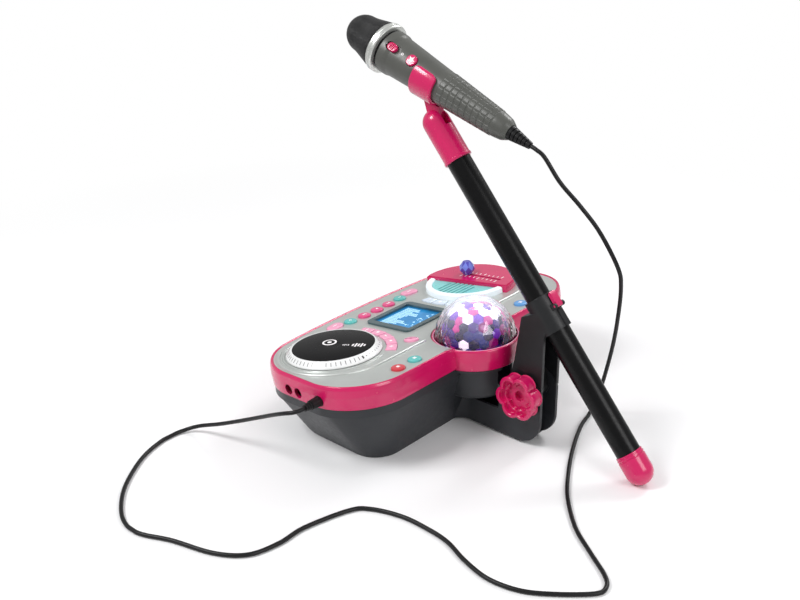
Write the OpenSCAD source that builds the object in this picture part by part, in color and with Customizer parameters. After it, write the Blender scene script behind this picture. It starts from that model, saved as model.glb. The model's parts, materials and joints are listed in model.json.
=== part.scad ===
// Toy karaoke console with a turning scratch platter, a light dome and a microphone on a leaning pole.
// Millimetres. X runs along the console, Y towards the pole, Z up. The console stands on Z = 0.

/* [Panel outline] */
// Height of the panel surface above the table, midway between the discs
panel_h = 81; // [76:0.5:88]
// Tilt of the panel towards its user, degrees
panel_tilt = 7.6; // [5:0.1:10]
// Distance of each disc from the middle of the panel
disc_x = 105.5; // [102:0.5:112]
// Radius of the outline round each disc
end_r = 64.5; // [63:0.5:67]
// Distance of the rear corners' centres from the middle
rear_x = 115; // [111:0.5:119]
// Distance of the rear corners' centres behind the discs
rear_v = 43; // [41:0.5:46]
// Radius of the rear corners
rear_r = 60; // [57:0.5:62]
// How far the front edge stands out past the disc ends
front_bulge = 5; // [3:0.5:7]
// Thickness of the panel
panel_t = 2.5; // [2:0.1:3]

/* [Side band] */
// Height of the coloured band round the console
band_h = 23; // [21:0.5:26]
// Wall of the band
band_wall = 4; // [3.5:0.1:5]
// How far the band's side bellies out
band_belly = 1.6; // [1:0.1:2]
// How far the rim stands above the panel
rim_rise = 0.8; // [0.3:0.1:1.5]
// Depth of the band's narrower top layer below the panel surface
rim_d = 2.4; // [1.5:0.1:2.5]
// Width of the ledge that carries the panel
ledge_w = 3; // [2:0.1:3.2]
// Thickness of that ledge
ledge_t = 2; // [1.5:0.1:2.5]

/* [Lower shell] */
// Height of the lip under the band
lip_h = 8; // [6:0.5:10]
// How far the lip stands in from the band
lip_inset = 2; // [1.7:0.1:3]
// How far the tub stands in from the lip
groove_d = 1.2; // [0.8:0.1:1.8]
// Wall of the lower shell
shell_wall = 2.5; // [2:0.1:3]
// Half width of the tub's footprint
foot_x = 135; // [128:1:142]
// Rear edge of the footprint
foot_rear = 84; // [80:1:90]
// Front edge of the footprint, in front of the discs
foot_front = 38; // [34:1:46]
// Rear corner radius of the footprint
foot_rear_r = 28; // [20:1:34]
// Front corner radius of the footprint
foot_front_r = 40; // [30:1:45]
// Width of the battery bay
bay_w = 78; // [70:1:84]
// Depth of the battery bay, front to back
bay_d = 54; // [50:1:58]
// Height of the battery bay
bay_h = 19; // [17:0.5:24]
// Distance of the battery bay's middle behind the console's middle
bay_y = 14; // [12:1:18]

/* [Scratch platter] */
// Outer radius of the platter
platter_r = 48; // [44:0.5:49]
// Radius of its black face
face_r = 41.3; // [36:0.1:42]
// Height of its face above the panel
platter_h = 7.2; // [6:0.1:9]
// Radius of the spindle it turns on
spindle_r = 4; // [3:0.1:6]
// Gap under the platter
platter_gap = 0.4; // [0.3:0.1:0.8]

/* [Far disc] */
// Outer radius of the light ring
ring_r = 47.7; // [45:0.1:49]
// Inner radius of the light ring
ring_inner_r = 40.5; // [38:0.1:42]
// Height of the light ring
ring_h = 6.5; // [5:0.1:8]
// Radius of the fader plate
plate_r = 52; // [50:0.5:53]
// Height of the fader plate
plate_h = 8.5; // [7:0.1:10]
// Distance of the plate's straight edge from the disc centre
plate_chord = 6; // [4:0.5:9]
// Turn of that straight edge, degrees
plate_turn = 6.4; // [4:0.2:9]
// Distance of the fader slot from the disc centre
slot_x = 12.5; // [12:0.5:16]
// Travel of the fader
fader_travel = 48; // [40:1:50]
// Resting place of the fader along its slot
fader_v = -11; // [-14:0.5:-8]
// Travel of the fader below its resting place
fader_back = 4; // [2:0.5:6]
// Width of the faceted fader knob
knob_w = 15; // [12:0.5:17]
// Height of the faceted fader knob
knob_h = 13; // [10:0.5:15]
// Distance of the loudspeaker from the middle
speaker_x = 84; // [82:0.5:86]
// Radius of the loudspeaker
speaker_r = 25; // [22:0.5:26]

/* [Display] */
// Width of the display frame
lcd_w = 68; // [64:0.5:70]
// Depth of the display frame
lcd_d = 60.5; // [58:0.5:62]
// Corner radius of the display frame
lcd_r = 6; // [4:0.5:8]
// Height of the display frame
lcd_h = 2; // [1.5:0.1:3]
// Width of the screen
screen_w = 53; // [48:0.5:54]
// Depth of the screen
screen_d = 50; // [46:0.5:51]
// Place of the display behind the discs' line
lcd_v = 3.8; // [3:0.2:5]

/* [Keys] */
// Travel of every key
key_travel = 1.5; // [1:0.1:2]
// Height of the round keys above the panel
key_h = 2.2; // [1.8:0.1:3]
// Radius of the round keys
key_r = 6.9; // [6:0.1:7.2]
// Gap round every key
key_gap = 0.3; // [0.2:0.05:0.4]
// Inner radius of the keys round the discs
arc_in = 51.6; // [51:0.1:53]
// Outer radius of the keys round the discs
arc_out = 62.6; // [60:0.1:63]
// Angle from one of those keys to the next, degrees
arc_pitch = 15.5; // [15:0.1:16]

/* [Light dome] */
// Distance of the dome behind the console's middle
dome_y = 93.3; // [91:0.1:96]
// Height of the foot of the clear dome
dome_z = 89.3; // [87:0.1:92]
// Tilt of the dome, degrees
dome_tilt = 4.6; // [3:0.1:7]
// Width of the collar's rim round the clear dome
rim_w = 3; // [2.5:0.1:4.5]
// Height of the collar
collar_h = 20; // [18:0.5:22]
// Outer radius of the clear dome
lens_r = 41.5; // [40:0.1:41.7]
// Wall of the clear dome
lens_wall = 2; // [1.5:0.1:2.5]
// Room between the clear dome and the mirror ball
ball_room = 6.5; // [5:0.5:9]
// Radius of the pod under the dome
pod_r = 38; // [37:0.1:39]
// Height of the pod under the collar
pod_h = 34; // [33:0.5:36]
// Teeth of the gear under the mirror ball
gear_teeth = 30; // [28:2:32]
// Teeth of the motor's pinion
pinion_teeth = 10; // [9:1:11]
// Module of both gears
gear_module = 1; // [0.9:0.05:1.05]

/* [Stand joint] */
// Distance of the stand's pivot behind the console's middle
pivot_y = 166; // [164:1:172]
// Height of the stand's pivot
pivot_z = 57; // [55:1:60]
// Outer width of the arm, the fork and the bracket
arm_w = 29; // [28.5:0.5:32]
// Wall of the fork's cheeks
cheek_t = 3.5; // [3:0.1:4]
// Wall of the arm
arm_wall = 3; // [2.5:0.1:3.5]
// Height of the arm
arm_h = 28; // [26:0.5:30]
// Clearance under the arm
arm_lift = 2.5; // [2:0.1:4]
// Radius of the fork round the pivot
fork_r = 18.5; // [17:0.1:19]
// Radius of the fork's heel
heel_r = 25; // [23:0.5:26]
// Radius of the clamp bolt
bolt_r = 3; // [2.5:0.1:4]
// Gap round the bolt
bolt_gap = 0.05; // [0.02:0.01:0.1]
// Radius of the knob over its petals
flower_r = 23; // [20:0.5:24]
// Thickness of the knob
flower_t = 14; // [12:0.5:16]

/* [Pole] */
// Lean of the pole, degrees from upright
pole_lean = 40.8; // [39.5:0.1:41.5]
// Radius of the pole
pole_r = 12; // [11.5:0.1:12.3]
// Wall of the pole
pole_wall = 1.5; // [1.2:0.1:2]
// Outer radius of the sleeve
sleeve_r = 14.5; // [14.5:0.1:15]
// Length of the sleeve
sleeve_l = 35.5; // [32:0.5:38]
// Distance from the clip's pivot down to the middle of the sleeve
sleeve_drop = 209.4; // [207:0.1:212]
// Outer radius of the foot and of the cap
cap_r = 13.5; // [13.4:0.1:14]
// Length of the cap below the clip's pivot
cap_l = 42; // [38:0.5:46]
// Length of the foot above its round end
foot_l = 19; // [16:0.5:24]
// Travel of the pole through its sleeve
pole_travel = 100; // [60:5:110]

/* [Microphone clip] */
// Distance of the clip's pivot behind the console's middle
clip_y = 41.6; // [41:0.1:43]
// Height of the clip's pivot
clip_z = 297.5; // [295:0.5:300]
// Thickness of the clip's neck
neck_t = 8; // [7:0.1:9]
// Length of the clip's saddle
saddle_l = 26; // [22:0.5:28]
// Wall of the clip's saddle
saddle_t = 3; // [2.5:0.1:3.5]
// Gap between the clip and the handle
clip_gap = 0.3; // [0.2:0.05:0.4]

/* [Microphone] */
// Slope of the microphone, degrees
mic_slope = 20; // [18:0.5:22]
// Distance of the ring in front of the console's middle
mic_y = -21.6; // [-24:0.1:-19]
// Height of the ring
mic_z = 358.8; // [356:0.1:361]
// Radius of the silver ring
mic_ring_r = 25; // [24:0.1:26]
// Radius of the handle next to the ring
handle_r = 21.5; // [20.5:0.1:22.5]
// Radius of the handle at its tail
tail_r = 12.2; // [11:0.1:13]
// Distance from the ring to the tail of the grip
tail_l = 147; // [144:1:150]
// Length of the black head
head_l = 48; // [44:0.5:52]
// Length of the strain relief
relief_l = 23.5; // [20:0.5:26]
// Travel of the microphone out of its clip
mic_travel = 90; // [60:5:95]

/* [Cable] */
// Radius of the cable
cable_r = 2; // [1.6:0.1:2.2]
// Radius of the plug's body
plug_r = 5.3; // [5:0.1:5.6]
// Length of the plug's body
plug_l = 21; // [18:0.5:24]
// Radius of a jack socket
jack_r = 1.8; // [1.8:0.05:2]
// Depth of a jack socket
jack_l = 14; // [12:0.5:16]
// Radius of the recess round an open socket
recess_r = 4.5; // [4:0.1:5]

/* [Hidden] */
$fn = 64;
smooth = 96;            // sides of the large circles
front_steps = 6;        // sides of half the front edge
end_steps = 18;         // sides round a disc end
rear_steps = 24;        // sides round a rear corner
hull_fn = 32;           // sides of the circles in the tub's hulls
fit = 0.05;             // radial gap of a shaft in its hole
seat = 0.3;             // gap between pieces that nearly touch
eps = 0.02;             // overlap that makes two shapes one solid
floor_cut = 400;        // size of the block that trims the shell at the table

// Outline
front_c = (disc_x * disc_x - front_bulge * front_bulge) / (2 * front_bulge);
front_r = front_c + end_r + front_bulge;
front_turn = atan2(disc_x, front_c);
side_len = norm([rear_x - disc_x, rear_v]);
side_dir = atan2(rear_v, rear_x - disc_x);
side_normal = side_dir - acos((end_r - rear_r) / side_len);
panel_inset = band_wall + seat / 2;

// Depths below the panel surface
board_top = -10.4;
board_t = 1.6;
board_low = board_top - board_t;
post_end = -26;
tub_top = -band_h - lip_h;
screw_seat = -40;
socket_w = -15;
socket_v = [0.5, 15.3, 46.4];

// Screws
post_r = 3.5;
tower_r = 5;
long_screw_r = 1.3;
board_screw_r = 1;
boss_r = 3;
head_r = 3;
head_h = 1.8;
post_places = [[70, -34], [-70, -34], [75, 62], [-75, 62]];
boss_places = [for (s = [-1, 1]) each [[s * 29, -55], [s * 62, 60], [s * 93, 69], [s * 94, -51]]];

// Dome
collar_r = lens_r + rim_w;
ball_r = lens_r - lens_wall - ball_room;
ball_lift = 3;
gear_pitch_r = gear_teeth * gear_module / 2;
pinion_pitch_r = pinion_teeth * gear_module / 2;
gear_gap = 0.15;
gear_centres = gear_pitch_r + pinion_pitch_r + gear_gap;
gear_z = -42;
gear_t = 4;
axle_r = 2;
pod_floor = -collar_h - pod_h + shell_wall;
motor_r = 10;
motor_l = 8;

// Pole frame: its Z runs up the pole from the middle of the sleeve
sleeve_y = clip_y + sleeve_drop * sin(pole_lean);
sleeve_z = clip_z - sleeve_drop * cos(pole_lean);
foot_drop = (clip_z - cap_r) / cos(pole_lean) - sleeve_drop;
pole_low = -foot_drop + foot_l;
pole_high = sleeve_drop - cap_l;
knuckle_r = 10;
fork_in = arm_w / 2 - cheek_t;

// Microphone frame: its Z runs to the head from the middle of the ring
saddle_mid = 63;
ring_back = 6;
handle_waist = 18;
waist_r = 20;
taper = (waist_r - tail_r) / (tail_l - handle_waist);
relief_start = 160;
relief_r = 7.2;
relief_tip_r = 3.4;
switch_at = 19;
button_at = 42.5;
control_roll = -48;
barrel_r = 6;
clip_pin_r = 2;

// Route of the cable from the strain relief to the plug
cable_points = [
    [0, 158, 293.4], [-1, 166, 288], [-5, 181, 267], [-10, 200, 248], [-18, 217, 225], [-28, 232, 192],
    [-38, 231, 169], [-52, 222, 130], [-68, 209, 88], [-78, 195, 40], [-82, 187, 16], [-79, 184, 5],
    [-69, 186, 2], [-45, 193, 2], [-1, 213, 2], [38, 235, 2], [66, 254, 2], [98, 284, 2], [119, 313, 2],
    [137, 339, 2], [149, 348, 2], [161, 346, 2], [183, 322, 2], [198, 298, 2], [203, 270, 2],
    [197, 241, 2], [187, 214, 2], [184, 190, 2], [185, 160, 2], [195, 131, 2], [210, 118, 2], [253, 107, 2],
    [283, 107, 2], [311, 99, 2], [329, 75, 2], [341, 35, 2], [354, 3, 2], [350, -23, 2], [331, -51, 2],
    [307, -73, 2], [274, -94, 2], [241, -104, 2], [220, -101, 3], [210, -89, 8], [206, -62, 19],
    [203, -34, 32], [203, -5, 47], [205, 18, 59.5], [206, 34, 67.5], [203, 44, 71], [197, 48, 72.2]];
cable_rings = 80;
cable_sides = 8;
relief_tip = [0, mic_y + (relief_start + relief_l) * cos(mic_slope),
    mic_z - (relief_start + relief_l) * sin(mic_slope)];
plug_x = 171;
plug_end = [plug_x + plug_l, in_world_y(socket_v[2], socket_w), in_world_z(socket_v[2], socket_w)];
route = concat([relief_tip], cable_points, [plug_end]);

// Colours
silver = [0.74, 0.76, 0.75];
pink = [0.86, 0.09, 0.40];
pale_pink = [0.93, 0.62, 0.75];
teal = [0.36, 0.75, 0.74];
charcoal = [0.20, 0.20, 0.21];
black = [0.05, 0.05, 0.06];
steel = [0.72, 0.73, 0.75];
white = [0.93, 0.93, 0.94];
red = [0.82, 0.16, 0.18];
blue = [0.32, 0.56, 0.85];

// Every key: name, kind, place across and up the panel, turn or first angle, colour
row_v = [-41.5, -42, -42, -43.5, -43.5];
row_x = [0, -19, 19, -38.6, 38.6];
arc_first = 180 + arc_pitch * 0.6;
KEYS = concat(
    [for (i = [0:4]) [str("row_key_", i + 1), "round", row_x[i], row_v[i], 0, i < 3 ? pink : teal]],
    [for (s = [-1, 1]) [s > 0 ? "near_wide_key" : "far_wide_key", "wide", s * 58, -47, s * 8, pale_pink]],
    [for (i = [0:4]) [str("near_arc_key_", i + 1), "arc", disc_x, 0, arc_first - i * arc_pitch, pale_pink]],
    [for (i = [0:4]) [str("far_arc_key_", i + 1), "arc", -disc_x, 0, 180 - arc_first + i * arc_pitch, white]],
    [for (s = [-1, 1]) [s > 0 ? "near_leaf_key" : "far_leaf_key", "leaf", s * 47.3, 50.4, s * 132, pale_pink]],
    [for (s = [-1, 1]) [s > 0 ? "near_outer_key" : "far_outer_key", "round", s * 107, 87.2, 0, red]],
    [for (s = [-1, 1]) [s > 0 ? "near_inner_key" : "far_inner_key", "round", s * 83.8, 87.2, 0,
        s > 0 ? teal : blue]]);

// Frames
function in_world_y(v, w) = v * cos(panel_tilt) - w * sin(panel_tilt);
function in_world_z(v, w) = panel_h + v * sin(panel_tilt) + w * cos(panel_tilt);

module on_panel() {
    translate([0, 0, panel_h]) rotate([panel_tilt, 0, 0]) children();
}

module on_dome() {
    translate([0, dome_y, dome_z]) rotate([dome_tilt, 0, 0]) children();
}

module on_pole() {
    translate([0, sleeve_y, sleeve_z]) rotate([pole_lean, 0, 0]) children();
}

module on_mic() {
    translate([0, mic_y, mic_z]) rotate([90 - mic_slope, 0, 0]) children();
}

// Extrudes a Y-Z profile along X from one place to another
module side(x0, x1) {
    translate([x0, 0, 0]) rotate([90, 0, 90]) linear_extrude(x1 - x0) children();
}

module mirrored() {
    for (s = [0, 1]) mirror([s, 0, 0]) children();
}

// Points along an arc, without its first one
function arc_points(centre, r, from, to, steps) = [for (i = [1:steps])
    let(a = from + (to - from) * i / steps) centre + r * [cos(a), sin(a)]];

// Right half of the console's outline, drawn in by some distance: front edge, disc end, rear corner
function half_outline(inset) = concat(
    [[0, front_c - front_r + inset]],
    arc_points([0, front_c], front_r - inset, -90, front_turn - 90, front_steps),
    arc_points([disc_x, 0], end_r - inset, front_turn - 90, side_normal, end_steps),
    arc_points([rear_x, rear_v], rear_r - inset, side_normal, 90, rear_steps));

module outline(inset) {
    half = half_outline(inset);
    polygon(concat(half, [for (i = [len(half) - 1:-1:1]) [-half[i][0], half[i][1]]]));
}

// A flat bar with round ends
module capsule(l, w) {
    for (s = [-1, 1]) translate([s * (l - w) / 2, 0]) circle(d = w);
    square([l - w, w], center = true);
}

module rounded_square(w, d, r) {
    square([w - 2 * r, d], center = true);
    square([w, d - 2 * r], center = true);
    for (x = [-1, 1]) for (y = [-1, 1]) translate([x * (w / 2 - r), y * (d / 2 - r)]) circle(r);
}

// A leaf: two arcs that meet in points
module leaf(l, w) {
    r = (l * l + w * w) / (4 * w);
    intersection_for(s = [-1, 1]) translate([0, s * (r - w / 2)]) circle(r);
}

// A wedge of a ring from one angle over another
module ring_part(r0, r1, first, span, h) {
    rotate([0, 0, first]) rotate_extrude(angle = span, $fn = smooth)
        translate([r0, 0]) square([r1 - r0, h]);
}

module collar_space(gap) {
    on_dome() translate([0, 0, -collar_h]) cylinder(r = collar_r + gap, h = 3 * collar_h);
}

// Side band: three layers that follow its belly, over a ledge for the panel
module band_layer(inset, low, high) {
    translate([0, 0, low]) linear_extrude(high - low) difference() {
        outline(inset);
        outline(band_wall);
    }
}

module socket_holes() {
    recesses = [recess_r, recess_r, plug_r + seat];
    for (i = [0:2]) translate([disc_x, socket_v[i], socket_w]) rotate([0, 90, 0])
        cylinder(r = recesses[i], h = end_r + band_wall * 3);
}

module side_band() {
    low_edge = -band_h + 2;
    high_edge = -rim_d;
    color(pink) difference() {
        on_panel() difference() {
            union() {
                band_layer(band_belly / 2, -band_h, low_edge);
                band_layer(0, low_edge, high_edge);
                band_layer(band_belly / 2, high_edge, rim_rise);
                translate([0, 0, -panel_t - ledge_t]) linear_extrude(ledge_t) difference() {
                    outline(band_wall - 0.5);
                    outline(band_wall + ledge_w);
                }
            }
            socket_holes();
        }
        collar_space(seat);
    }
}

// Top panel
module key_shape(kind, grow) {
    if (kind == "round") circle(r = key_r + grow);
    if (kind == "wide") capsule(21 + 2 * grow, 12.4 + 2 * grow);
    if (kind == "leaf") leaf(15 + 3 * grow, 10.5 + 2 * grow);
}

// The stretch from low to high of a key's body, grown by some distance
module key_body(k, grow, low, high) {
    if (k[1] == "arc") {
        spread = asin(grow / arc_in);
        gap_turn = asin((key_gap + 0.5) / arc_in);
        translate([k[2], k[3], low]) ring_part(arc_in - grow, arc_out + grow,
            k[4] - arc_pitch / 2 + gap_turn - spread, arc_pitch - 2 * gap_turn + 2 * spread, high - low);
    } else {
        translate([k[2], k[3], low]) rotate([0, 0, k[4]]) linear_extrude(high - low)
            key_shape(k[1], grow);
    }
}

// Cuts away what lies beyond the fader plate's straight edge
module beyond_chord(offset) {
    translate([-disc_x + plate_chord, 0]) rotate([0, 0, plate_turn])
        translate([-2 * plate_r + offset, -2 * plate_r]) square([2 * plate_r, 4 * plate_r]);
}

module panel_screws_holes() {
    for (p = boss_places) translate([p[0], p[1], board_low]) cylinder(r = board_screw_r + fit, h = 8);
    for (p = post_places) translate([p[0], p[1], post_end - eps]) cylinder(r = long_screw_r + fit, h = 16);
}

module panel_ridges() {
    for (ridge = [[50.2, 0.9], [52.4, 0.7]])
        translate([disc_x, 0, -eps]) rotate([0, 0, -112])
            rotate_extrude(angle = 222, $fn = smooth)
            translate([ridge[0], 0]) intersection() {
                circle(ridge[1]);
                translate([-1, 0]) square(2);
            }
}

module top_panel() {
    color(silver) difference() {
        on_panel() difference() {
            union() {
                translate([0, 0, -panel_t]) linear_extrude(panel_t) outline(panel_inset);
                panel_ridges();
                translate([disc_x, 0, -eps]) cylinder(r = spindle_r, h = platter_h - 2 + eps);
                for (p = boss_places) translate([p[0], p[1], board_top])
                    cylinder(r = boss_r, h = -board_top - 1);
                for (p = post_places) translate([p[0], p[1], post_end])
                    cylinder(r = post_r, h = -post_end - 1);
            }
            translate([0, lcd_v, -panel_t - 1]) linear_extrude(panel_t + 2)
                rounded_square(lcd_w - 8, lcd_d - 4, 2);
            for (k = KEYS) key_body(k, key_gap, -panel_t - 1, 2);
            translate([-speaker_x, 0, -panel_t - 1]) cylinder(r = speaker_r - 4, h = panel_t + 2);
            translate([-disc_x - slot_x, slot_mid(), -panel_t - 1]) linear_extrude(panel_t + 2)
                square([5, slot_len() + 2], center = true);
            panel_screws_holes();
        }
        collar_space(seat);
    }
}

module trim_profile() {
    intersection() {
        circle(1.9);
        translate([-2, 0]) square([4, 2]);
    }
}

// One chrome strip: an arc round the disc, then straight along the rear of the panel
module trim_strip() {
    strip_r = end_r - 4.5;
    strip_c = [disc_x - 2.4, 3.4];
    strip_end = 43;
    first = -58;
    translate([strip_c[0], strip_c[1], 0]) rotate([0, 0, first])
        rotate_extrude(angle = 90 - first, $fn = smooth) translate([strip_r, 0]) trim_profile();
    translate([strip_end, strip_c[1] + strip_r, 0]) rotate([90, 0, 90])
        linear_extrude(strip_c[0] - strip_end) trim_profile();
    half_profile_end([strip_end, strip_c[1] + strip_r], 90);
    half_profile_end([strip_c[0] + strip_r * cos(first), strip_c[1] + strip_r * sin(first)], first + 180);
}

module half_profile_end(place, turn) {
    translate([place[0], place[1], 0]) rotate([0, 0, turn])
        rotate_extrude(angle = 180) intersection() {
            trim_profile();
            square(2);
        }
}

module trim_strips() {
    color(steel) difference() {
        on_panel() mirrored() trim_strip();
        collar_space(seat);
    }
}

// Display
module lcd_frame() {
    color([0.24, 0.34, 0.37]) on_panel() translate([0, lcd_v, 0]) difference() {
        linear_extrude(lcd_h) rounded_square(lcd_w, lcd_d, lcd_r);
        translate([0, 0, -eps]) linear_extrude(lcd_h + 1) rounded_square(screen_w, screen_d, 1.5);
    }
}

module lcd_module() {
    glass_low = -1;
    color([0.20, 0.42, 0.78]) on_panel() translate([0, lcd_v, board_top])
        linear_extrude(glass_low - board_top)
        rounded_square(lcd_w - 8 - 2 * seat, lcd_d - 4 - 2 * seat, 2 - seat);
}

// Circuit board with the fader's slide pot
function slot_len() = fader_travel + 5;
function slot_mid() = fader_v - fader_back + fader_travel / 2;

module main_board() {
    board_inset = 9;
    board_half = 126;
    groove = 3;
    color([0.10, 0.36, 0.20]) difference() {
        on_panel() difference() {
            union() {
                translate([0, 0, board_low]) linear_extrude(board_t) intersection() {
                    outline(board_inset);
                    translate([-board_half, -100]) square([2 * board_half, 250]);
                }
                translate([-disc_x - slot_x - 4, slot_mid() - slot_len() / 2 - 3, board_top - eps])
                    cube([8, slot_len() + 6, 6]);
            }
            translate([-disc_x - slot_x - groove / 2, slot_mid() - slot_len() / 2, board_top + 1])
                cube([groove, slot_len(), 8]);
            translate([-speaker_x, 0, board_low - 1]) cylinder(r = speaker_r + 2, h = board_t + 2);
            for (p = post_places) translate([p[0], p[1], board_low - 1])
                cylinder(r = post_r + 0.5, h = board_t + 2);
            for (p = boss_places) translate([p[0], p[1], board_low - 1])
                cylinder(r = board_screw_r + 0.3, h = board_t + 2);
        }
        on_dome() translate([0, 0, -2 * collar_h]) cylinder(r = collar_r + 2, h = 4 * collar_h);
    }
}

// Loudspeaker and its grille
module speaker() {
    color([0.15, 0.15, 0.16]) on_panel() translate([-speaker_x, 0, -panel_t]) rotate_extrude()
        polygon([[0, -19], [11, -19], [11, -13], [14, -13], [speaker_r - 2, -3], [speaker_r, -3],
            [speaker_r, 0], [speaker_r - 3, 0], [speaker_r - 4, -1.2], [9, -7], [0, -5]]);
}

module speaker_grille() {
    slot_w = 2.2;
    slot_pitch = 5.4;
    grille_h = 4.6;
    color(teal) on_panel() difference() {
        linear_extrude(grille_h) difference() {
            translate([-disc_x, 0]) circle(r = ring_inner_r - seat, $fn = smooth);
            beyond_chord(seat);
        }
        translate([-speaker_x, 0, -1]) for (i = [-3:3]) {
            run = 2 * sqrt(pow(speaker_r - 5, 2) - pow(i * slot_pitch, 2));
            translate([0, i * slot_pitch, 0]) linear_extrude(grille_h + 2) capsule(run, slot_w);
        }
    }
}

module light_ring() {
    color([0.75, 0.90, 0.97]) on_panel() difference() {
        translate([-disc_x, 0, 0]) rotate_extrude($fn = smooth) union() {
            translate([ring_inner_r, 0]) square([ring_r - ring_inner_r, ring_h - 2]);
            translate([ring_inner_r + 1.6, 0]) square([ring_r - ring_inner_r - 3.2, ring_h]);
            for (x = [ring_inner_r + 1.6, ring_r - 1.6])
                translate([x, ring_h - 2]) intersection() {
                    circle(1.6);
                    translate([-2, 0]) square([4, 2]);
                }
        }
        translate([0, 0, -1]) linear_extrude(ring_h + 2) beyond_chord(seat);
    }
}

// Raised plate that covers the outer side of the far disc and guides the fader
module fader_plate() {
    wall = 2.2;
    step = 1.2;
    color(pink) on_panel() difference() {
        union() {
            linear_extrude(plate_h - step) intersection() {
                translate([-disc_x, 0]) circle(r = plate_r, $fn = smooth);
                beyond_chord(0);
            }
            linear_extrude(plate_h) intersection() {
                translate([-disc_x, 0]) circle(r = plate_r - step, $fn = smooth);
                beyond_chord(-step);
            }
        }
        translate([0, 0, -eps]) linear_extrude(plate_h - wall) intersection() {
            translate([-disc_x, 0]) circle(r = plate_r - wall - step, $fn = smooth);
            beyond_chord(-wall - step);
        }
        translate([-disc_x - slot_x, slot_mid(), 0]) linear_extrude(plate_h + 1)
            rotate([0, 0, 90]) capsule(slot_len(), 3);
    }
}

module fader_knob() {
    stem_w = 2.2;
    stem_l = 3.7;
    crown = 0.62;
    color([0.45, 0.35, 0.85]) on_panel() translate([-disc_x - slot_x, fader_v, 0]) {
        translate([0, 0, plate_h + seat]) cylinder(d1 = knob_w * crown, d2 = knob_w, h = knob_h * 0.55, $fn = 8);
        translate([0, 0, plate_h + seat + knob_h * 0.55 - eps])
            cylinder(d1 = knob_w, d2 = knob_w * 0.5, h = knob_h * 0.45, $fn = 8);
        translate([-stem_w / 2, -stem_l / 2, board_top + 1 + seat])
            cube([stem_w, stem_l, plate_h + 1 - board_top - 1]);
    }
}

// Scratch platter
module platter() {
    hub_r = spindle_r + 3;
    skirt = 2;
    deck = platter_h - 1.2;
    color(white) on_panel() translate([disc_x, 0, 0]) rotate_extrude($fn = smooth)
        polygon([[spindle_r + fit, platter_gap], [hub_r, platter_gap], [hub_r, deck - 2],
            [face_r - 3, deck - 2], [platter_r - skirt - 1, platter_gap + 1], [platter_r - skirt - 1, platter_gap],
            [platter_r - 0.4, platter_gap], [platter_r, platter_gap + 0.8], [platter_r - 0.3, platter_gap + 1.6],
            [face_r + 1.2, platter_h], [face_r, platter_h], [face_r, deck], [spindle_r + fit, deck]]);
}

module platter_pad() {
    color(black) on_panel() translate([disc_x, 0, platter_h - 1.2])
        cylinder(r = face_r - fit, h = 1, $fn = smooth);
}

// Light dome
module dome_collar() {
    low_r = collar_r - 1.2;
    lip = 1.6;
    color(pink) on_dome() rotate_extrude($fn = smooth) difference() {
        polygon([[lens_r - 3, -3], [lens_r + seat, -3], [lens_r + seat, 0], [collar_r, 0],
            [collar_r, -collar_h / 2], [low_r, -collar_h], [low_r - 3, -collar_h], [lens_r - 1, -5.5],
            [lens_r - 3, -5.5]]);
        translate([collar_r - lip, -lip]) difference() {
            square(2 * lip);
            circle(lip);
        }
    }
}

module dome_lens() {
    foot = 3;
    color([0.85, 0.88, 0.98, 0.4]) on_dome() rotate_extrude($fn = smooth) difference() {
        union() {
            intersection() {
                circle(lens_r);
                square(lens_r);
            }
            translate([0, -foot]) square([lens_r, foot]);
        }
        circle(lens_r - lens_wall);
        translate([-1, -foot - 1]) square([lens_r - lens_wall + 1, foot + 1]);
    }
}

// One gear in the X-Y plane with straight-sided teeth
module gear(teeth, pitch_r, t) {
    add = 0.75 * gear_module;
    ded = 1.15 * gear_module;
    root_half = 70 / teeth;
    tip_half = 34 / teeth;
    linear_extrude(t) union() {
        circle(r = pitch_r - ded + eps);
        for (i = [0:teeth - 1]) rotate([0, 0, i * 360 / teeth])
            polygon([for (p = [[pitch_r - ded - 0.3, -root_half * 1.25], [pitch_r + add, -tip_half],
                [pitch_r + add, tip_half], [pitch_r - ded - 0.3, root_half * 1.25]])
                p[0] * [cos(p[1]), sin(p[1])]]);
    }
}

module disco_ball() {
    axle_low = pod_floor + 1;
    color([0.50, 0.25, 0.75]) on_dome() {
        translate([0, 0, ball_lift]) sphere(r = ball_r, $fn = smooth);
        translate([0, 0, axle_low]) cylinder(r = axle_r, h = -axle_low);
        translate([0, 0, gear_z + gear_t - eps]) cylinder(r = 2 * axle_r, h = -gear_z - gear_t);
        translate([0, 0, gear_z]) gear(gear_teeth, gear_pitch_r, gear_t);
    }
}

module disco_motor() {
    shaft_r = 0.9;
    color(steel) on_dome() translate([gear_centres, 0, 0]) {
        translate([0, 0, gear_z - 1 - motor_l]) cylinder(r = motor_r, h = motor_l);
        translate([0, 0, gear_z - 1 - eps]) cylinder(r = shaft_r, h = gear_t + 2);
    }
}

module motor_pinion() {
    shaft_r = 0.9;
    half_tooth = pinion_teeth % 2 == 0 ? 180 / pinion_teeth : 0;
    color(white) on_dome() translate([gear_centres, 0, gear_z]) difference() {
        rotate([0, 0, half_tooth]) gear(pinion_teeth, pinion_pitch_r, gear_t);
        translate([0, 0, -1]) cylinder(r = shaft_r + fit, h = gear_t + 2);
    }
}

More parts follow.
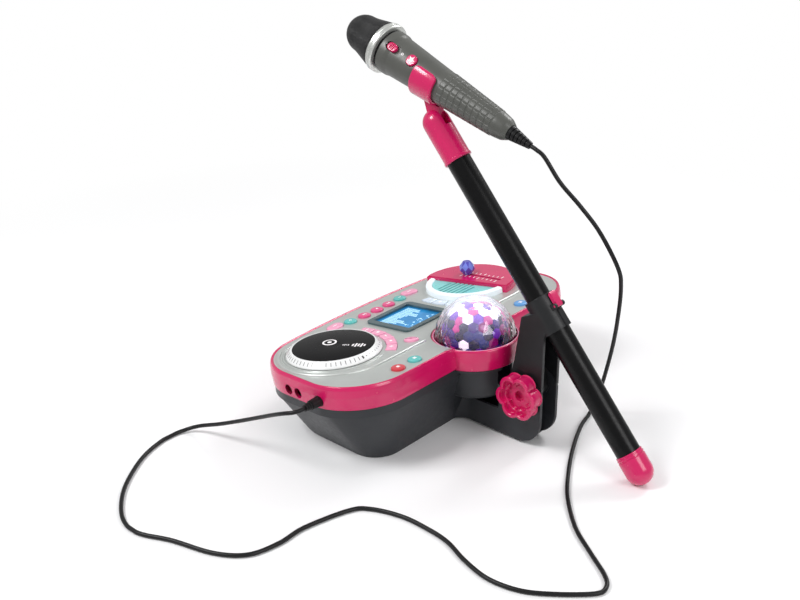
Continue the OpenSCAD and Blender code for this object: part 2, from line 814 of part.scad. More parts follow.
// Jack sockets behind the band
module jack_sockets() {
    fronts = [disc_x + end_r - band_wall - 0.6, disc_x + end_r - band_wall - 0.6, plug_x - 1];
    back = 150;
    color([0.45, 0.04, 0.16]) on_panel() difference() {
        union() {
            for (i = [0:2]) translate([back, socket_v[i] - 6.5, socket_w - 5])
                cube([fronts[i] - back, 13, 10]);
            translate([back, socket_v[0] - 6.5, socket_w - 5])
                cube([3, socket_v[2] - socket_v[0] + 13, 10]);
        }
        for (i = [0:2]) translate([fronts[i] - jack_l, socket_v[i], socket_w]) rotate([0, 90, 0])
            cylinder(r = jack_r, h = jack_l + 1);
    }
}

// Lower shell
module footprint(inset) {
    for (s = [-1, 1]) {
        translate([s * (foot_x - foot_rear_r), foot_rear - foot_rear_r])
            circle(r = foot_rear_r - inset, $fn = hull_fn);
        translate([s * (foot_x - foot_front_r), foot_front_r - foot_front])
            circle(r = foot_front_r - inset, $fn = hull_fn);
    }
}

// Outline for the tub's hulls: only the corners and the middle of the front edge
module tub_outline(inset) {
    for (s = [-1, 1]) {
        translate([s * disc_x, 0]) circle(r = end_r - inset, $fn = hull_fn + 16);
        translate([s * rear_x, rear_v]) circle(r = rear_r - inset, $fn = hull_fn + 16);
    }
    translate([0, -end_r - front_bulge + inset + 1]) square(2, center = true);
}

module tub(inset, bottom) {
    hull() {
        on_panel() translate([0, 0, tub_top - 0.5]) linear_extrude(0.5)
            tub_outline(lip_inset + groove_d + inset);
        translate([0, 0, bottom]) linear_extrude(0.5) footprint(inset);
    }
}

module pod(inset) {
    low = -collar_h - pod_h + inset;
    edge = 6 - inset;
    low_r = pod_r - 2 - inset;
    on_dome() rotate_extrude($fn = smooth) {
        polygon([[0, low], [low_r - edge, low], [low_r, low + edge], [pod_r - inset, -collar_h + inset],
            [0, -collar_h + inset]]);
        translate([low_r - edge, low + edge]) intersection() {
            circle(edge);
            translate([0, -edge]) square(edge);
        }
    }
}

// Side view of the fork, as a bar round two circles of different size
module fork_shape() {
    heel = [pivot_y - 6.5, arm_lift + heel_r];
    d = norm([pivot_y - heel[0], pivot_z - heel[1]]);
    dir = atan2(pivot_z - heel[1], pivot_y - heel[0]);
    n = acos((heel_r - fork_r) / d);
    translate(heel) circle(heel_r);
    translate([pivot_y, pivot_z]) circle(fork_r);
    polygon([for (s = [-1, 1]) heel + heel_r * [cos(dir + s * n), sin(dir + s * n)],
        for (s = [1, -1]) [pivot_y, pivot_z] + fork_r * [cos(dir + s * n), sin(dir + s * n)]]);
}

module arm_outside() {
    half = arm_w / 2;
    start = foot_rear - 24;
    blend = 17;
    side(-half, half) {
        translate([start, arm_lift]) square([pivot_y - 6.5 - start, arm_h - arm_lift]);
        fork_shape();
    }
    translate([0, 0, arm_lift]) linear_extrude(arm_h - arm_lift) difference() {
        translate([-half - blend, foot_rear - blend]) square([2 * half + 2 * blend, 2 * blend]);
        for (s = [-1, 1]) translate([s * (half + blend), foot_rear + blend]) circle(blend);
    }
}

module arm_inside() {
    in = arm_w / 2 - arm_wall;
    side(-in, in) translate([foot_rear + 12, arm_lift + arm_wall])
        square([pivot_y - foot_rear - 40, 4 * arm_h]);
    side(-fork_in, fork_in) difference() {
        translate([pivot_y - 28, arm_lift + arm_wall]) square([90, 120]);
        translate([0, -1]) square([pivot_y - 28 + eps, 1]);
    }
}

module shell_outside() {
    tub(0, 0);
    on_panel() translate([0, 0, tub_top]) linear_extrude(lip_h) outline(lip_inset);
    pod(0);
    on_dome() translate([0, 0, -collar_h - 2]) cylinder(r = collar_r - 1.6, h = 2);
    arm_outside();
}

module shell_inside() {
    tub(shell_wall, shell_wall);
    on_panel() translate([0, 0, tub_top - 3]) linear_extrude(lip_h + 6)
        outline(lip_inset + groove_d + shell_wall + 1.4);
    pod(shell_wall);
    on_dome() translate([0, 0, -collar_h - 4]) cylinder(r = pod_r - shell_wall - 1, h = 8);
    arm_inside();
}

module motor_cup() {
    low = pod_floor - 1;
    high = gear_z - 1 - motor_l;
    on_dome() translate([gear_centres, 0, low]) difference() {
        cylinder(r = motor_r + 2, h = high - low + 4);
        translate([0, 0, high - low]) cylinder(r = motor_r + fit, h = 20);
    }
}

module lower_shell() {
    nut_r = 9;
    nut_l = 5.5;
    color(charcoal) difference() {
        union() {
            difference() {
                shell_outside();
                shell_inside();
            }
            for (p = post_places) on_panel() translate([p[0], p[1], -110])
                cylinder(r = tower_r, h = 110 + post_end);
            on_dome() translate([0, 0, pod_floor - 1]) cylinder(r = axle_r + 2.5, h = 7);
            motor_cup();
            translate([-bay_w / 2 - 2, bay_y - bay_d / 2 - 2, 0]) cube([bay_w + 4, bay_d + 4, bay_h + 2]);
            side(-arm_w / 2 - nut_l, -arm_w / 2 + eps) translate([pivot_y, pivot_z]) circle(nut_r);
        }
        collar_space(seat);
        translate([-floor_cut, -floor_cut, -floor_cut]) cube([2 * floor_cut, 2 * floor_cut, floor_cut]);
        translate([-bay_w / 2, bay_y - bay_d / 2, -1]) cube([bay_w, bay_d, bay_h + 1]);
        translate([-bay_w / 2 - 1, bay_y - bay_d / 2 - 1, -1]) cube([bay_w + 2, bay_d + 2, 3]);
        for (p = post_places) on_panel() {
            translate([p[0], p[1], -110]) cylinder(r = head_r + 0.4, h = 110 + screw_seat);
            translate([p[0], p[1], screw_seat - 1]) cylinder(r = long_screw_r + 0.3, h = 40);
        }
        on_dome() translate([0, 0, pod_floor]) cylinder(r = axle_r + fit, h = 10);
        side(-arm_w / 2 - nut_l + 1, arm_w) translate([pivot_y, pivot_z]) circle(bolt_r + bolt_gap);
    }
}

module battery_door() {
    gap = 0.25;
    catch = 14;
    color([0.17, 0.17, 0.18]) difference() {
        translate([-bay_w / 2 - 1 + gap, bay_y - bay_d / 2 - 1 + gap, 0])
            cube([bay_w + 2 - 2 * gap, bay_d + 2 - 2 * gap, 1.7]);
        translate([0, bay_y + bay_d / 2 - 9, 0]) for (i = [0:2])
            translate([-catch / 2, i * 2.4, -1]) cube([catch, 1, 1.5]);
    }
}

module case_screws() {
    color(steel) on_panel() {
        for (p = boss_places) translate([p[0], p[1], board_low - head_h]) {
            cylinder(r = head_r - 0.4, h = head_h);
            cylinder(r = board_screw_r, h = head_h + board_t + 5);
        }
        for (p = post_places) translate([p[0], p[1], screw_seat - head_h]) {
            cylinder(r = head_r, h = head_h);
            cylinder(r = long_screw_r, h = head_h + post_end - screw_seat + 12);
        }
    }
}

// Stand bracket: fork tongue below, pole sleeve above
module bracket_side() {
    polygon([[pivot_y - 18.5, pivot_z], [pivot_y - 18.3, pivot_z + 9], [pivot_y - 14, pivot_z + 30],
        [sleeve_y - 20, sleeve_z - 4], [sleeve_y - 4, sleeve_z + 4], [sleeve_y + 8, sleeve_z - 10],
        [pivot_y + 18.5, pivot_z + 62], [pivot_y + 18.5, pivot_z]]);
}

module stand_bracket() {
    half = arm_w / 2;
    web = 3;
    relief = fork_r + 0.7;
    front_cut = 11;
    tongue = fork_in - seat;
    latch_y = sleeve_r + 2.5;
    latch_z = 3;
    color([0.15, 0.15, 0.16]) difference() {
        union() {
            difference() {
                side(-half, half) bracket_side();
                side(-half - 1, half + 1) translate([pivot_y, pivot_z]) circle(relief);
                side(-half - 1, half + 1) translate([pivot_y - 40, pivot_z - 30]) square([80, 30]);
                side(-half - 1, half + 1) translate([pivot_y - 40, pivot_z - 1]) square([40, front_cut + 1]);
                side(-fork_in, fork_in) translate([web + 0.5, 0]) bracket_side();
                side(-fork_in, fork_in) translate([pivot_y, pivot_z]) square([60, 40]);
            }
            side(-tongue, tongue) {
                translate([pivot_y, pivot_z]) circle(knuckle_r);
                polygon([[pivot_y - knuckle_r, pivot_z], [pivot_y - 16.5, pivot_z + 14],
                    [pivot_y - 12, pivot_z + 34], [pivot_y + 2, pivot_z + 34], [pivot_y + knuckle_r, pivot_z]]);
            }
            on_pole() translate([0, 0, -sleeve_l / 2]) cylinder(r = sleeve_r, h = sleeve_l);
            on_pole() for (s = [-1, 1]) translate([s * 5.6 - 1.2, 0, 0]) rotate([90, 0, 90])
                linear_extrude(2.4) {
                    translate([latch_y, latch_z]) circle(2.6);
                    translate([sleeve_r - 2, latch_z - 2.6]) square([latch_y - sleeve_r + 2, 5.2]);
                }
            on_pole() translate([-3, sleeve_r - 1.4, -sleeve_l / 2]) cube([6, 3.2, sleeve_l / 2 - 1]);
        }
        on_pole() translate([0, 0, -sleeve_l]) cylinder(r = pole_r + fit, h = 2 * sleeve_l);
        on_pole() translate([-20, latch_y, latch_z]) rotate([0, 90, 0]) cylinder(r = 1.2 + fit, h = 40);
        side(-half, half) translate([pivot_y, pivot_z]) circle(bolt_r + bolt_gap);
    }
}

module height_latch() {
    latch_y = sleeve_r + 2.5;
    latch_z = 3;
    wide = 8.2;
    color(pink) on_pole() {
        translate([-6.4, latch_y, latch_z]) rotate([0, 90, 0]) cylinder(r = 1.2, h = 12.8);
        translate([-wide / 2, 0, 0]) rotate([90, 0, 90]) linear_extrude(wide) {
            translate([latch_y, latch_z]) circle(2.1);
            polygon([[latch_y - 1.6, latch_z], [sleeve_r + 0.8, latch_z + 5], [sleeve_r + 0.8, latch_z + 12],
                [sleeve_r + 3.4, latch_z + 14], [latch_y + 2.1, latch_z + 10], [latch_y + 2.1, latch_z]]);
        }
    }
}

// Clamp knob: a flower with a bolt moulded in
module flower(r) {
    petal = r * 0.37;
    circle(r * 0.72);
    for (i = [0:5]) rotate([0, 0, i * 60 + 8]) translate([r - petal, 0]) circle(petal);
}

module clamp_knob() {
    start = arm_w / 2 + seat;
    stand_off = 2.6;
    color(pink) translate([0, pivot_y, pivot_z]) rotate([90, 0, 90]) {
        translate([0, 0, start]) cylinder(r = 9, h = stand_off + eps);
        translate([0, 0, start + stand_off]) difference() {
            linear_extrude(flower_t) flower(flower_r);
            translate([0, 0, flower_t - 4.5]) linear_extrude(5) flower(flower_r - 4.2);
            translate([0, 0, flower_t - 8]) linear_extrude(5) flower(flower_r - 9);
            translate([0, 0, flower_t - 11]) cylinder(r = 5.2, h = 12, $fn = 6);
        }
        translate([0, 0, -arm_w / 2 - 4]) cylinder(r = bolt_r, h = arm_w + 4 + stand_off + 1);
    }
}

// Pole, foot and cap
module pole() {
    deep = 6;
    color(black) on_pole() translate([0, 0, pole_low - deep]) difference() {
        cylinder(r = pole_r, h = pole_high - pole_low + 2 * deep);
        translate([0, 0, -1]) cylinder(r = pole_r - pole_wall, h = pole_high - pole_low + 2 * deep + 2);
    }
}

module pole_foot() {
    color(pink) on_pole() difference() {
        union() {
            translate([0, 0, -foot_drop]) sphere(r = cap_r);
            translate([0, 0, -foot_drop]) cylinder(r = cap_r, h = foot_l - 1.6);
            translate([0, 0, pole_low - 1.7]) cylinder(r = cap_r - 0.4, h = 1.7);
        }
        translate([0, 0, pole_low - 6 - seat]) cylinder(r = pole_r + fit, h = 10);
    }
}

module pole_cap() {
    cheek_gap = neck_t / 2 + seat;
    color(pink) on_pole() translate([0, 0, sleeve_drop]) difference() {
        union() {
            sphere(r = cap_r);
            translate([0, 0, -cap_l + 3]) cylinder(r = cap_r, h = cap_l - 3);
            translate([0, 0, -cap_l]) cylinder(r = cap_r + 0.6, h = 3);
        }
        translate([0, 0, -cap_l - 1]) cylinder(r = pole_r + fit, h = 7 + seat);
        translate([-cheek_gap, -2 * cap_r, -barrel_r - 2]) cube([2 * cheek_gap, 4 * cap_r, 3 * cap_r]);
    }
    color(pink) translate([-cap_r + 1.5, clip_y, clip_z]) rotate([0, 90, 0])
        cylinder(r = clip_pin_r, h = 2 * cap_r - 3);
}

// Microphone clip
function handle_at(z) = waist_r - (z - handle_waist) * taper;

module mic_clip() {
    near = saddle_mid - saddle_l / 2;
    far = saddle_mid + saddle_l / 2;
    r_near = handle_at(near) + clip_gap;
    r_far = handle_at(far) + clip_gap;
    open_half = 48;
    mid_y = mic_y + saddle_mid * cos(mic_slope);
    mid_z = mic_z - saddle_mid * sin(mic_slope);
    saddle_low = handle_at(saddle_mid) + clip_gap + saddle_t / 2;
    color(pink) difference() {
        union() {
            on_mic() rotate_extrude() polygon([[r_near, -near], [r_near + saddle_t, -near],
                [r_far + saddle_t, -far], [r_far, -far]]);
            side(-neck_t / 2, neck_t / 2) {
                translate([clip_y, clip_z]) circle(barrel_r);
                polygon([[clip_y - barrel_r, clip_z], [mid_y - 9, mid_z - saddle_low],
                    [mid_y + 9, mid_z - saddle_low - 4], [clip_y + barrel_r, clip_z]]);
            }
        }
        on_mic() rotate([0, 0, 90 - open_half]) rotate_extrude(angle = 2 * open_half)
            translate([0, -far - 1]) square([4 * r_near, saddle_l + 2]);
        on_mic() translate([0, 0, -far - 1]) cylinder(r2 = r_near + taper, r1 = r_far - taper, h = saddle_l + 2);
        side(-neck_t, neck_t) translate([clip_y, clip_z]) circle(clip_pin_r + fit);
    }
}

// Microphone
module mic_handle() {
    ribs = 9;
    rib_first = saddle_mid + saddle_l / 2 + 4;
    rib_pitch = (tail_l - rib_first - 3) / ribs;
    color([0.33, 0.33, 0.34]) on_mic() difference() {
        union() {
            rotate_extrude($fn = smooth) polygon([[0, -5], [handle_r - 1.5, -5], [handle_r - 1.5, -ring_back],
                [handle_r, -ring_back], [handle_r, -14], [waist_r, -handle_waist], [tail_r, -tail_l],
                [tail_r - 1.4, -tail_l - 8], [relief_r + 0.8, -relief_start], [0, -relief_start]]);
            for (i = [0:ribs - 1]) {
                z = rib_first + i * rib_pitch;
                r = handle_at(z + rib_pitch * 0.3);
                translate([0, 0, -z - rib_pitch * 0.6])
                    cylinder(r1 = r + 0.5 - taper * rib_pitch * 0.3, r2 = r + 0.5 + taper * rib_pitch * 0.3,
                    h = rib_pitch * 0.6);
            }
        }
        rotate([0, 0, control_roll]) {
            translate([0, handle_at(switch_at) - 2.4, -switch_at]) rotate([-90, 0, 0])
                linear_extrude(9) rotate([0, 0, 90]) capsule(17.6, 8.6);
            translate([0, handle_at(button_at) - 2.6, -button_at]) rotate([-90, 0, 0])
                cylinder(r = 5.6 + key_gap, h = 9);
        }
    }
}

module mic_head() {
    crown_r = 18.5;
    crown_z = head_l - crown_r;
    color(black) on_mic() rotate_extrude($fn = smooth) union() {
        translate([0, crown_z]) intersection() {
            circle(crown_r);
            translate([0, -eps]) square(crown_r + 1);
        }
        polygon([[0, 5.1], [mic_ring_r - 2.4, 5.1], [mic_ring_r - 1.4, 8], [crown_r, crown_z], [0, crown_z]]);
    }
}

module mic_ring() {
    ring_f = 5;
    ring_b = -3;
    color(steel) on_mic() rotate_extrude($fn = smooth) difference() {
        polygon([[0, ring_b], [mic_ring_r - 1, ring_b], [mic_ring_r, ring_b + 1], [mic_ring_r, ring_f - 1.2],
            [mic_ring_r - 1.2, ring_f], [0, ring_f]]);
        translate([mic_ring_r + 0.6, (ring_f + ring_b) / 2]) circle(1);
    }
    color(black) on_mic() translate([0, 0, -5]) cylinder(r = handle_r - 2.5, h = 2 + eps);
}

module mic_switch() {
    color(pink) on_mic() rotate([0, 0, control_roll])
        translate([0, handle_at(switch_at) - 2.1, -switch_at + 1.5]) rotate([-90, 0, 0]) {
            linear_extrude(3.2) rotate([0, 0, 90]) capsule(11, 8);
            translate([0, 0, 3.2 - eps]) linear_extrude(1.4) square([6.4, 3], center = true);
        }
}

module mic_button() {
    color(pink) on_mic() rotate([0, 0, control_roll])
        translate([0, handle_at(button_at) - 1.2, -button_at]) rotate([-90, 0, 0])
        cylinder(r = 5.6, h = 3);
}

module mic_relief() {
    grooves = 5;
    pitch = relief_l / (grooves + 1);
    color(black) on_mic() difference() {
        translate([0, 0, -relief_start - relief_l])
            cylinder(r1 = relief_tip_r, r2 = relief_r, h = relief_l);
        for (i = [1:grooves]) {
            z = relief_start + i * pitch;
            r = relief_r + (relief_tip_r - relief_r) * i / (grooves + 1);
            translate([0, 0, -z - 0.7]) rotate_extrude() translate([r - 0.9, 0]) square([3, 1.4]);
        }
    }
}

// Cable: a smooth curve through the route, swept as one tube
function reached(i) = route[min(max(i, 0), len(route) - 1)];

function curve(a, b, c, d, t) = 0.5 * (2 * b + (c - a) * t + (2 * a - 5 * b + 4 * c - d) * t * t
    + (3 * b - a - 3 * c + d) * t * t * t);

function along(u) = let(
    i = min(floor(u), len(route) - 2),
    p = curve(reached(i - 1), reached(i), reached(i + 1), reached(i + 2), u - i))
    [p[0], p[1], max(p[2], cable_r)];

function unit(v) = v / norm(v);

function heading(u) = let(last = len(route) - 1, e = 0.02)
    u < e ? [0, cos(mic_slope), -sin(mic_slope)] :
    u > last - e ? [-1, 0, 0] :
    unit(along(min(u + e, last)) - along(max(u - e, 0)));

// Places of the rings: even steps along the length of the curve
steps_each = 8;
samples = [for (i = [0:steps_each * (len(route) - 1)]) along(i / steps_each)];
function run_up(i, sum, list) = i >= len(samples) ? list :
    let(s = sum + (i > 0 ? norm(samples[i] - samples[i - 1]) : 0)) run_up(i + 1, s, concat(list, [s]));
reach = run_up(0, 0, []);
cable_l = reach[len(reach) - 1];
function place_of(s) = let(
    i = min(len([for (r = reach) if (r < s) 1]), len(reach) - 1),
    a = max(i - 1, 0),
    part = i > a ? (s - reach[a]) / (reach[i] - reach[a]) : 0)
    (a + part) / steps_each;

module mic_cable() {
    lean = [0.8, 0, 0.6];
    places = [for (k = [0:cable_rings - 1]) place_of(cable_l * k / (cable_rings - 1))];
    points = [for (u = places) let(
        h = heading(u),
        a = unit(cross(h, lean)),
        b = cross(h, a))
        for (j = [0:cable_sides - 1]) along(u)
            + cable_r * (cos(j * 360 / cable_sides) * a + sin(j * 360 / cable_sides) * b)];
    faces = concat(
        [[for (j = [0:cable_sides - 1]) j]],
        [for (k = [0:cable_rings - 2]) for (j = [0:cable_sides - 1]) each let(
            a = k * cable_sides + j,
            b = k * cable_sides + (j + 1) % cable_sides)
            [[b, a, a + cable_sides], [b, a + cable_sides, b + cable_sides]]],
        [[for (j = [cable_sides - 1:-1:0]) (cable_rings - 1) * cable_sides + j]]);
    color(black) polyhedron(points, faces, convexity = 10);
}

module mic_plug() {
    neck_r = 3.2;
    flex = 7;
    color(black) on_panel() translate([plug_x, socket_v[2], socket_w]) rotate([0, 90, 0]) difference() {
        union() {
            translate([0, 0, -0.6]) cylinder(r = plug_r, h = 0.6 + eps);
            cylinder(r1 = plug_r, r2 = plug_r - 0.6, h = plug_l - flex);
            translate([0, 0, plug_l - flex - eps]) cylinder(r1 = plug_r - 1.4, r2 = neck_r, h = flex + eps);
            translate([0, 0, -jack_l + 1]) cylinder(r = jack_r - fit, h = jack_l);
        }
        for (i = [0:1]) translate([0, 0, plug_l - 5 + i * 2.4]) rotate_extrude()
            translate([neck_r - 0.4, 0]) square([4, 0.9]);
    }
}

// Keys
module key(k) {
    cap_h = k[1] == "arc" ? 1.4 : key_h;
    flange_t = 1;
    flange_top = -panel_t - seat;
    mid = k[1] == "arc" ? [k[2] + 57 * cos(k[4]), k[3] + 57 * sin(k[4])] : [k[2], k[3]];
    color(k[5]) on_panel() {
        key_body(k, 0, flange_top - eps, cap_h - 0.8);
        key_body(k, -0.45, cap_h - 0.8 - eps, cap_h - 0.35);
        key_body(k, -1.1, cap_h - 0.35 - eps, cap_h);
        key_body(k, k[1] == "arc" ? 0.6 : 0.8, flange_top - flange_t, flange_top);
        translate([mid[0], mid[1], board_top + key_travel + seat])
            cylinder(r = 1.6, h = flange_top - flange_t + eps - board_top - key_travel - seat);
    }
}

lower_shell();
battery_door();
side_band();
dome_collar();
top_panel();
trim_strips();
lcd_frame();
lcd_module();
main_board();
speaker_grille();
light_ring();
speaker();
fader_plate();
fader_knob();
dome_lens();
disco_ball();
disco_motor();
motor_pinion();
jack_sockets();
platter();
platter_pad();
stand_bracket();
clamp_knob();
height_latch();
pole();
pole_foot();
pole_cap();
mic_clip();
mic_handle();
mic_head();
mic_ring();
mic_switch();
mic_button();
mic_relief();
mic_cable();
mic_plug();
case_screws();
for (k = KEYS) key(k);
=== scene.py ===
"""Looks of the toy karaoke console with its microphone stand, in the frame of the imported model.

Drawings, profiles and heights are in millimetres. Matrices and finished meshes are in metres.
"""
import json
import math
import random

import bmesh
import bpy
from mathutils import Matrix, Vector


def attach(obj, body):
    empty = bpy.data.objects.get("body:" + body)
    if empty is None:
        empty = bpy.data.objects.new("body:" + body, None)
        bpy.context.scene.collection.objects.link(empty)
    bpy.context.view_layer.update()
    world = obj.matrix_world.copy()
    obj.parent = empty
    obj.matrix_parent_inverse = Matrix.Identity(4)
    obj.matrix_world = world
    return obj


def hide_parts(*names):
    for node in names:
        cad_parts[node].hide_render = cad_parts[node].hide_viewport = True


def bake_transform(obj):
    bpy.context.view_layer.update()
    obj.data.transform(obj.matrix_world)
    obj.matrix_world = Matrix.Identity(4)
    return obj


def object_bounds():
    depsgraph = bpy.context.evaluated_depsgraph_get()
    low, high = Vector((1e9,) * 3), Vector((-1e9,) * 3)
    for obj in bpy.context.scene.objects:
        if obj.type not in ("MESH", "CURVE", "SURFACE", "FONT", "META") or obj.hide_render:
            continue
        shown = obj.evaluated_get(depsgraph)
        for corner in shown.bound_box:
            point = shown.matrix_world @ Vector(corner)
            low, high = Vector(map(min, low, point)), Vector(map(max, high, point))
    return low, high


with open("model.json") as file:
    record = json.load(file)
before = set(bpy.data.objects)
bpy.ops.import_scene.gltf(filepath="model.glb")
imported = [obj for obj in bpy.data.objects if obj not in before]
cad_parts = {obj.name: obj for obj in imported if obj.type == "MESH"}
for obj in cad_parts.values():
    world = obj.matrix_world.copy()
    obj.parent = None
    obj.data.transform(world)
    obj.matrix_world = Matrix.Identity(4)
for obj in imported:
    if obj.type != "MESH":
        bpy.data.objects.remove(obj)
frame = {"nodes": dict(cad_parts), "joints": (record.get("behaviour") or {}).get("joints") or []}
cad_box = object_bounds()
nodes = frame["nodes"]
joints = {j["name"]: j for j in frame["joints"]}
MM = 0.001
TAU = 2 * math.pi


# ---------------------------- frames
def spin(degrees, axis="Z"):
    return Matrix.Rotation(math.radians(degrees), 4, axis)


def shift(x, y, z=0.0):
    """A move in millimetres."""
    return Matrix.Translation((x * MM, y * MM, z * MM))


def placed(origin, tilt):
    """A frame at a point, tilted about X by degrees."""
    return Matrix.Translation(origin) @ spin(tilt, "X")


PANEL_H = 81 * MM
PANEL_TILT = 7.6
DOME_TILT = 4.6
POLE_LEAN = 40.8
MIC_AT = (0, -21.6 * MM, 358.8 * MM)
MIC_SLOPE = 20
# Distance of the clip's pin from the origin of the pole's frame
PIN_UP = 209.4
DISC_X = joints["scratch_spin"]["pos_m"][0]
DISC = DISC_X / MM
PIVOT = Vector(joints["stand_tilt"]["pos_m"])
CLIP = Vector(joints["clip_tilt"]["pos_m"])
POLE_UP = Vector(joints["pole_slide"]["axis"])
# Stands a drawing up, so that its x runs along Y and its y along Z
SIDE_ON = Matrix(((0, 0, 1, 0), (1, 0, 0, 0), (0, 1, 0, 0), (0, 0, 0, 1)))
PANEL = placed((0, 0, PANEL_H), PANEL_TILT)
DOME = placed(joints["ball_spin"]["pos_m"], DOME_TILT)
POLE = placed(CLIP - PIN_UP * MM * POLE_UP, POLE_LEAN)
MIC = placed(MIC_AT, 90 - MIC_SLOPE)
KNOB = Matrix.Translation(PIVOT) @ SIDE_ON


# ---------------------------- camera
CAMERA_AT = Vector((0.80605, 0.72414, 0.595))
CAMERA_BACK = Vector((0.6735, 0.6115, 0.4153)).normalized()
CAMERA_ROLL = math.radians(-0.58)
CAMERA_LENS = 51.5


def in_scene(name, data):
    """Adds an object to the scene."""
    made = bpy.data.objects.new(name, data)
    bpy.context.scene.collection.objects.link(made)
    return made


def make_camera():
    level = Vector((0, 0, 1)).cross(CAMERA_BACK).normalized()
    up = CAMERA_BACK.cross(level)
    right = math.cos(CAMERA_ROLL) * level + math.sin(CAMERA_ROLL) * up
    up = CAMERA_BACK.cross(right)
    data = bpy.data.cameras.new("camera")
    data.lens = CAMERA_LENS
    data.sensor_width = 36
    data.clip_end = 30
    camera = in_scene("camera", data)
    turn = Matrix((right, up, CAMERA_BACK)).transposed().to_4x4()
    camera.matrix_world = Matrix.Translation(CAMERA_AT) @ turn
    bpy.context.scene.camera = camera


# ---------------------------- materials
def linear(hex_colour):
    """A colour written as six hex digits, as linear values."""
    values = [int(hex_colour[i:i + 2], 16) / 255 for i in (0, 2, 4)]
    return [v / 12.92 if v <= 0.04045 else ((v + 0.055) / 1.055) ** 2.4 for v in values]


class Graph:
    """The nodes of a material or a world, with short calls to add and join them."""

    def __init__(self, owner, shader="Principled BSDF"):
        owner.use_nodes = True
        self.owner = owner
        self.tree = owner.node_tree
        self.shader = self.tree.nodes[shader]
        self.place = self.add("ShaderNodeTexCoord").outputs["Object"]

    def add(self, kind, inputs=None, **settings):
        node = self.tree.nodes.new(kind)
        for key, value in settings.items():
            setattr(node, key, value)
        for key, value in (inputs or {}).items():
            self.join(value, node.inputs[key])
        return node

    def join(self, value, socket):
        if isinstance(value, bpy.types.NodeSocket):
            self.tree.links.new(value, socket)
        else:
            socket.default_value = value

    def math(self, operation, a, b=0.0):
        return self.add("ShaderNodeMath", {0: a, 1: b}, operation=operation).outputs[0]

    def noise(self, size, detail=3.0):
        """Smooth noise from 0 to 1 whose blobs are about size metres."""
        node = self.add("ShaderNodeTexNoise", {"Vector": self.place, "Scale": 1 / size, "Detail": detail})
        return node.outputs["Fac"]

    def range(self, value, low, high, from_low=0.3, from_high=0.7):
        node = self.add("ShaderNodeMapRange", {"Value": value, "From Min": from_low, "From Max": from_high,
                                               "To Min": low, "To Max": high})
        return node.outputs["Result"]

    def mix(self, share, a, b):
        """A blend of two colours, each given as three values."""
        node = self.add("ShaderNodeMix", data_type="RGBA")
        for key, value in (("Factor", share), ("A", [*a, 1]), ("B", [*b, 1])):
            self.join(value, node.inputs[key])
        return node.outputs["Result"]

    def bump(self, height, strength, distance, normal=None):
        inputs = {"Height": height, "Strength": strength, "Distance": distance}
        if normal is not None:
            inputs["Normal"] = normal
        return self.add("ShaderNodeBump", inputs).outputs["Normal"]

    def local(self, frame_matrix):
        """The surface point in another frame, as three separate values."""
        back = frame_matrix.inverted()
        node = self.add("ShaderNodeMapping", {"Vector": self.place, "Location": back.to_translation(),
                                              "Rotation": back.to_euler("XYZ")})
        return self.add("ShaderNodeSeparateXYZ", {0: node.outputs[0]}).outputs


def finish(name, colour, rough=0.35, mottle=0.05, grain=0.0, edge=0.4 * MM, **sockets):
    """Moulded or plated material: slight colour and gloss variation, grain, softly rounded edges."""
    patch_size, smear_size, grain_size, grain_depth = 18 * MM, 4 * MM, 0.5 * MM, 0.1 * MM
    g = Graph(bpy.data.materials.new(name))
    darker = [v * (1 - mottle) for v in linear(colour)]
    lighter = [min(1.0, v * (1 + mottle)) for v in linear(colour)]
    g.join(g.mix(g.range(g.noise(patch_size), 0, 1), darker, lighter), g.shader.inputs["Base Color"])
    g.join(g.range(g.noise(smear_size, 5.0), rough * 0.88, rough * 1.15), g.shader.inputs["Roughness"])
    normal = g.add("ShaderNodeBevel", {"Radius": edge}, samples=4).outputs[0] if edge else None
    if grain:
        normal = g.bump(g.noise(grain_size, 2.0), grain, grain_depth, normal)
    if normal is not None:
        g.join(normal, g.shader.inputs["Normal"])
    for key, value in sockets.items():
        g.shader.inputs[key.replace("_", " ")].default_value = value
    return g


def glow(g, colour, strength):
    g.shader.inputs["Emission Color"].default_value = [*linear(colour), 1]
    g.shader.inputs["Emission Strength"].default_value = strength


def silver_panel():
    """Silver lacquer with fine turned rings about the near disc."""
    first, last, soft, pitch = 48 * MM, 57 * MM, 0.4 * MM, 0.9 * MM
    g = finish("silver_panel", "c3c7c4", rough=0.32, mottle=0.03, edge=0, Metallic=0.45)
    spot = g.local(PANEL)
    across = g.math("SUBTRACT", spot[0], DISC_X)
    squares = [g.math("MULTIPLY", v, v) for v in (across, spot[1])]
    far = g.math("SQRT", g.math("ADD", *squares))
    waves = g.math("SINE", g.math("MULTIPLY", far, TAU / pitch))
    rise = g.range(far, 0, 1, first - soft, first + soft)
    fall = g.range(far, 1, 0, last - soft, last + soft)
    rings = g.math("MULTIPLY", waves, g.math("MULTIPLY", rise, fall))
    fine = g.noise(0.35 * MM, 2.0)
    height = g.math("ADD", g.math("MULTIPLY", rings, 0.7), g.math("MULTIPLY", fine, 0.25))
    g.join(g.bump(height, 0.35, 0.12 * MM), g.shader.inputs["Normal"])
    return g


def wire_mesh():
    """Black wire mesh on the microphone's head: woven rows that follow its own axis."""
    row_pitch, wires = 1.5 * MM, 90.0
    g = finish("wire_mesh", "1a1a1b", rough=0.36, mottle=0.1, edge=0, Metallic=0.3)
    spot = g.local(MIC)
    rows = g.math("MULTIPLY", spot[2], TAU / row_pitch)
    sides = g.math("MULTIPLY", g.math("ARCTAN2", spot[1], spot[0]), wires)
    weave = g.math("MULTIPLY", g.math("SINE", g.math("ADD", rows, sides)),
                   g.math("SINE", g.math("SUBTRACT", rows, sides)))
    g.join(g.bump(weave, 0.55, 0.22 * MM), g.shader.inputs["Normal"])
    return g


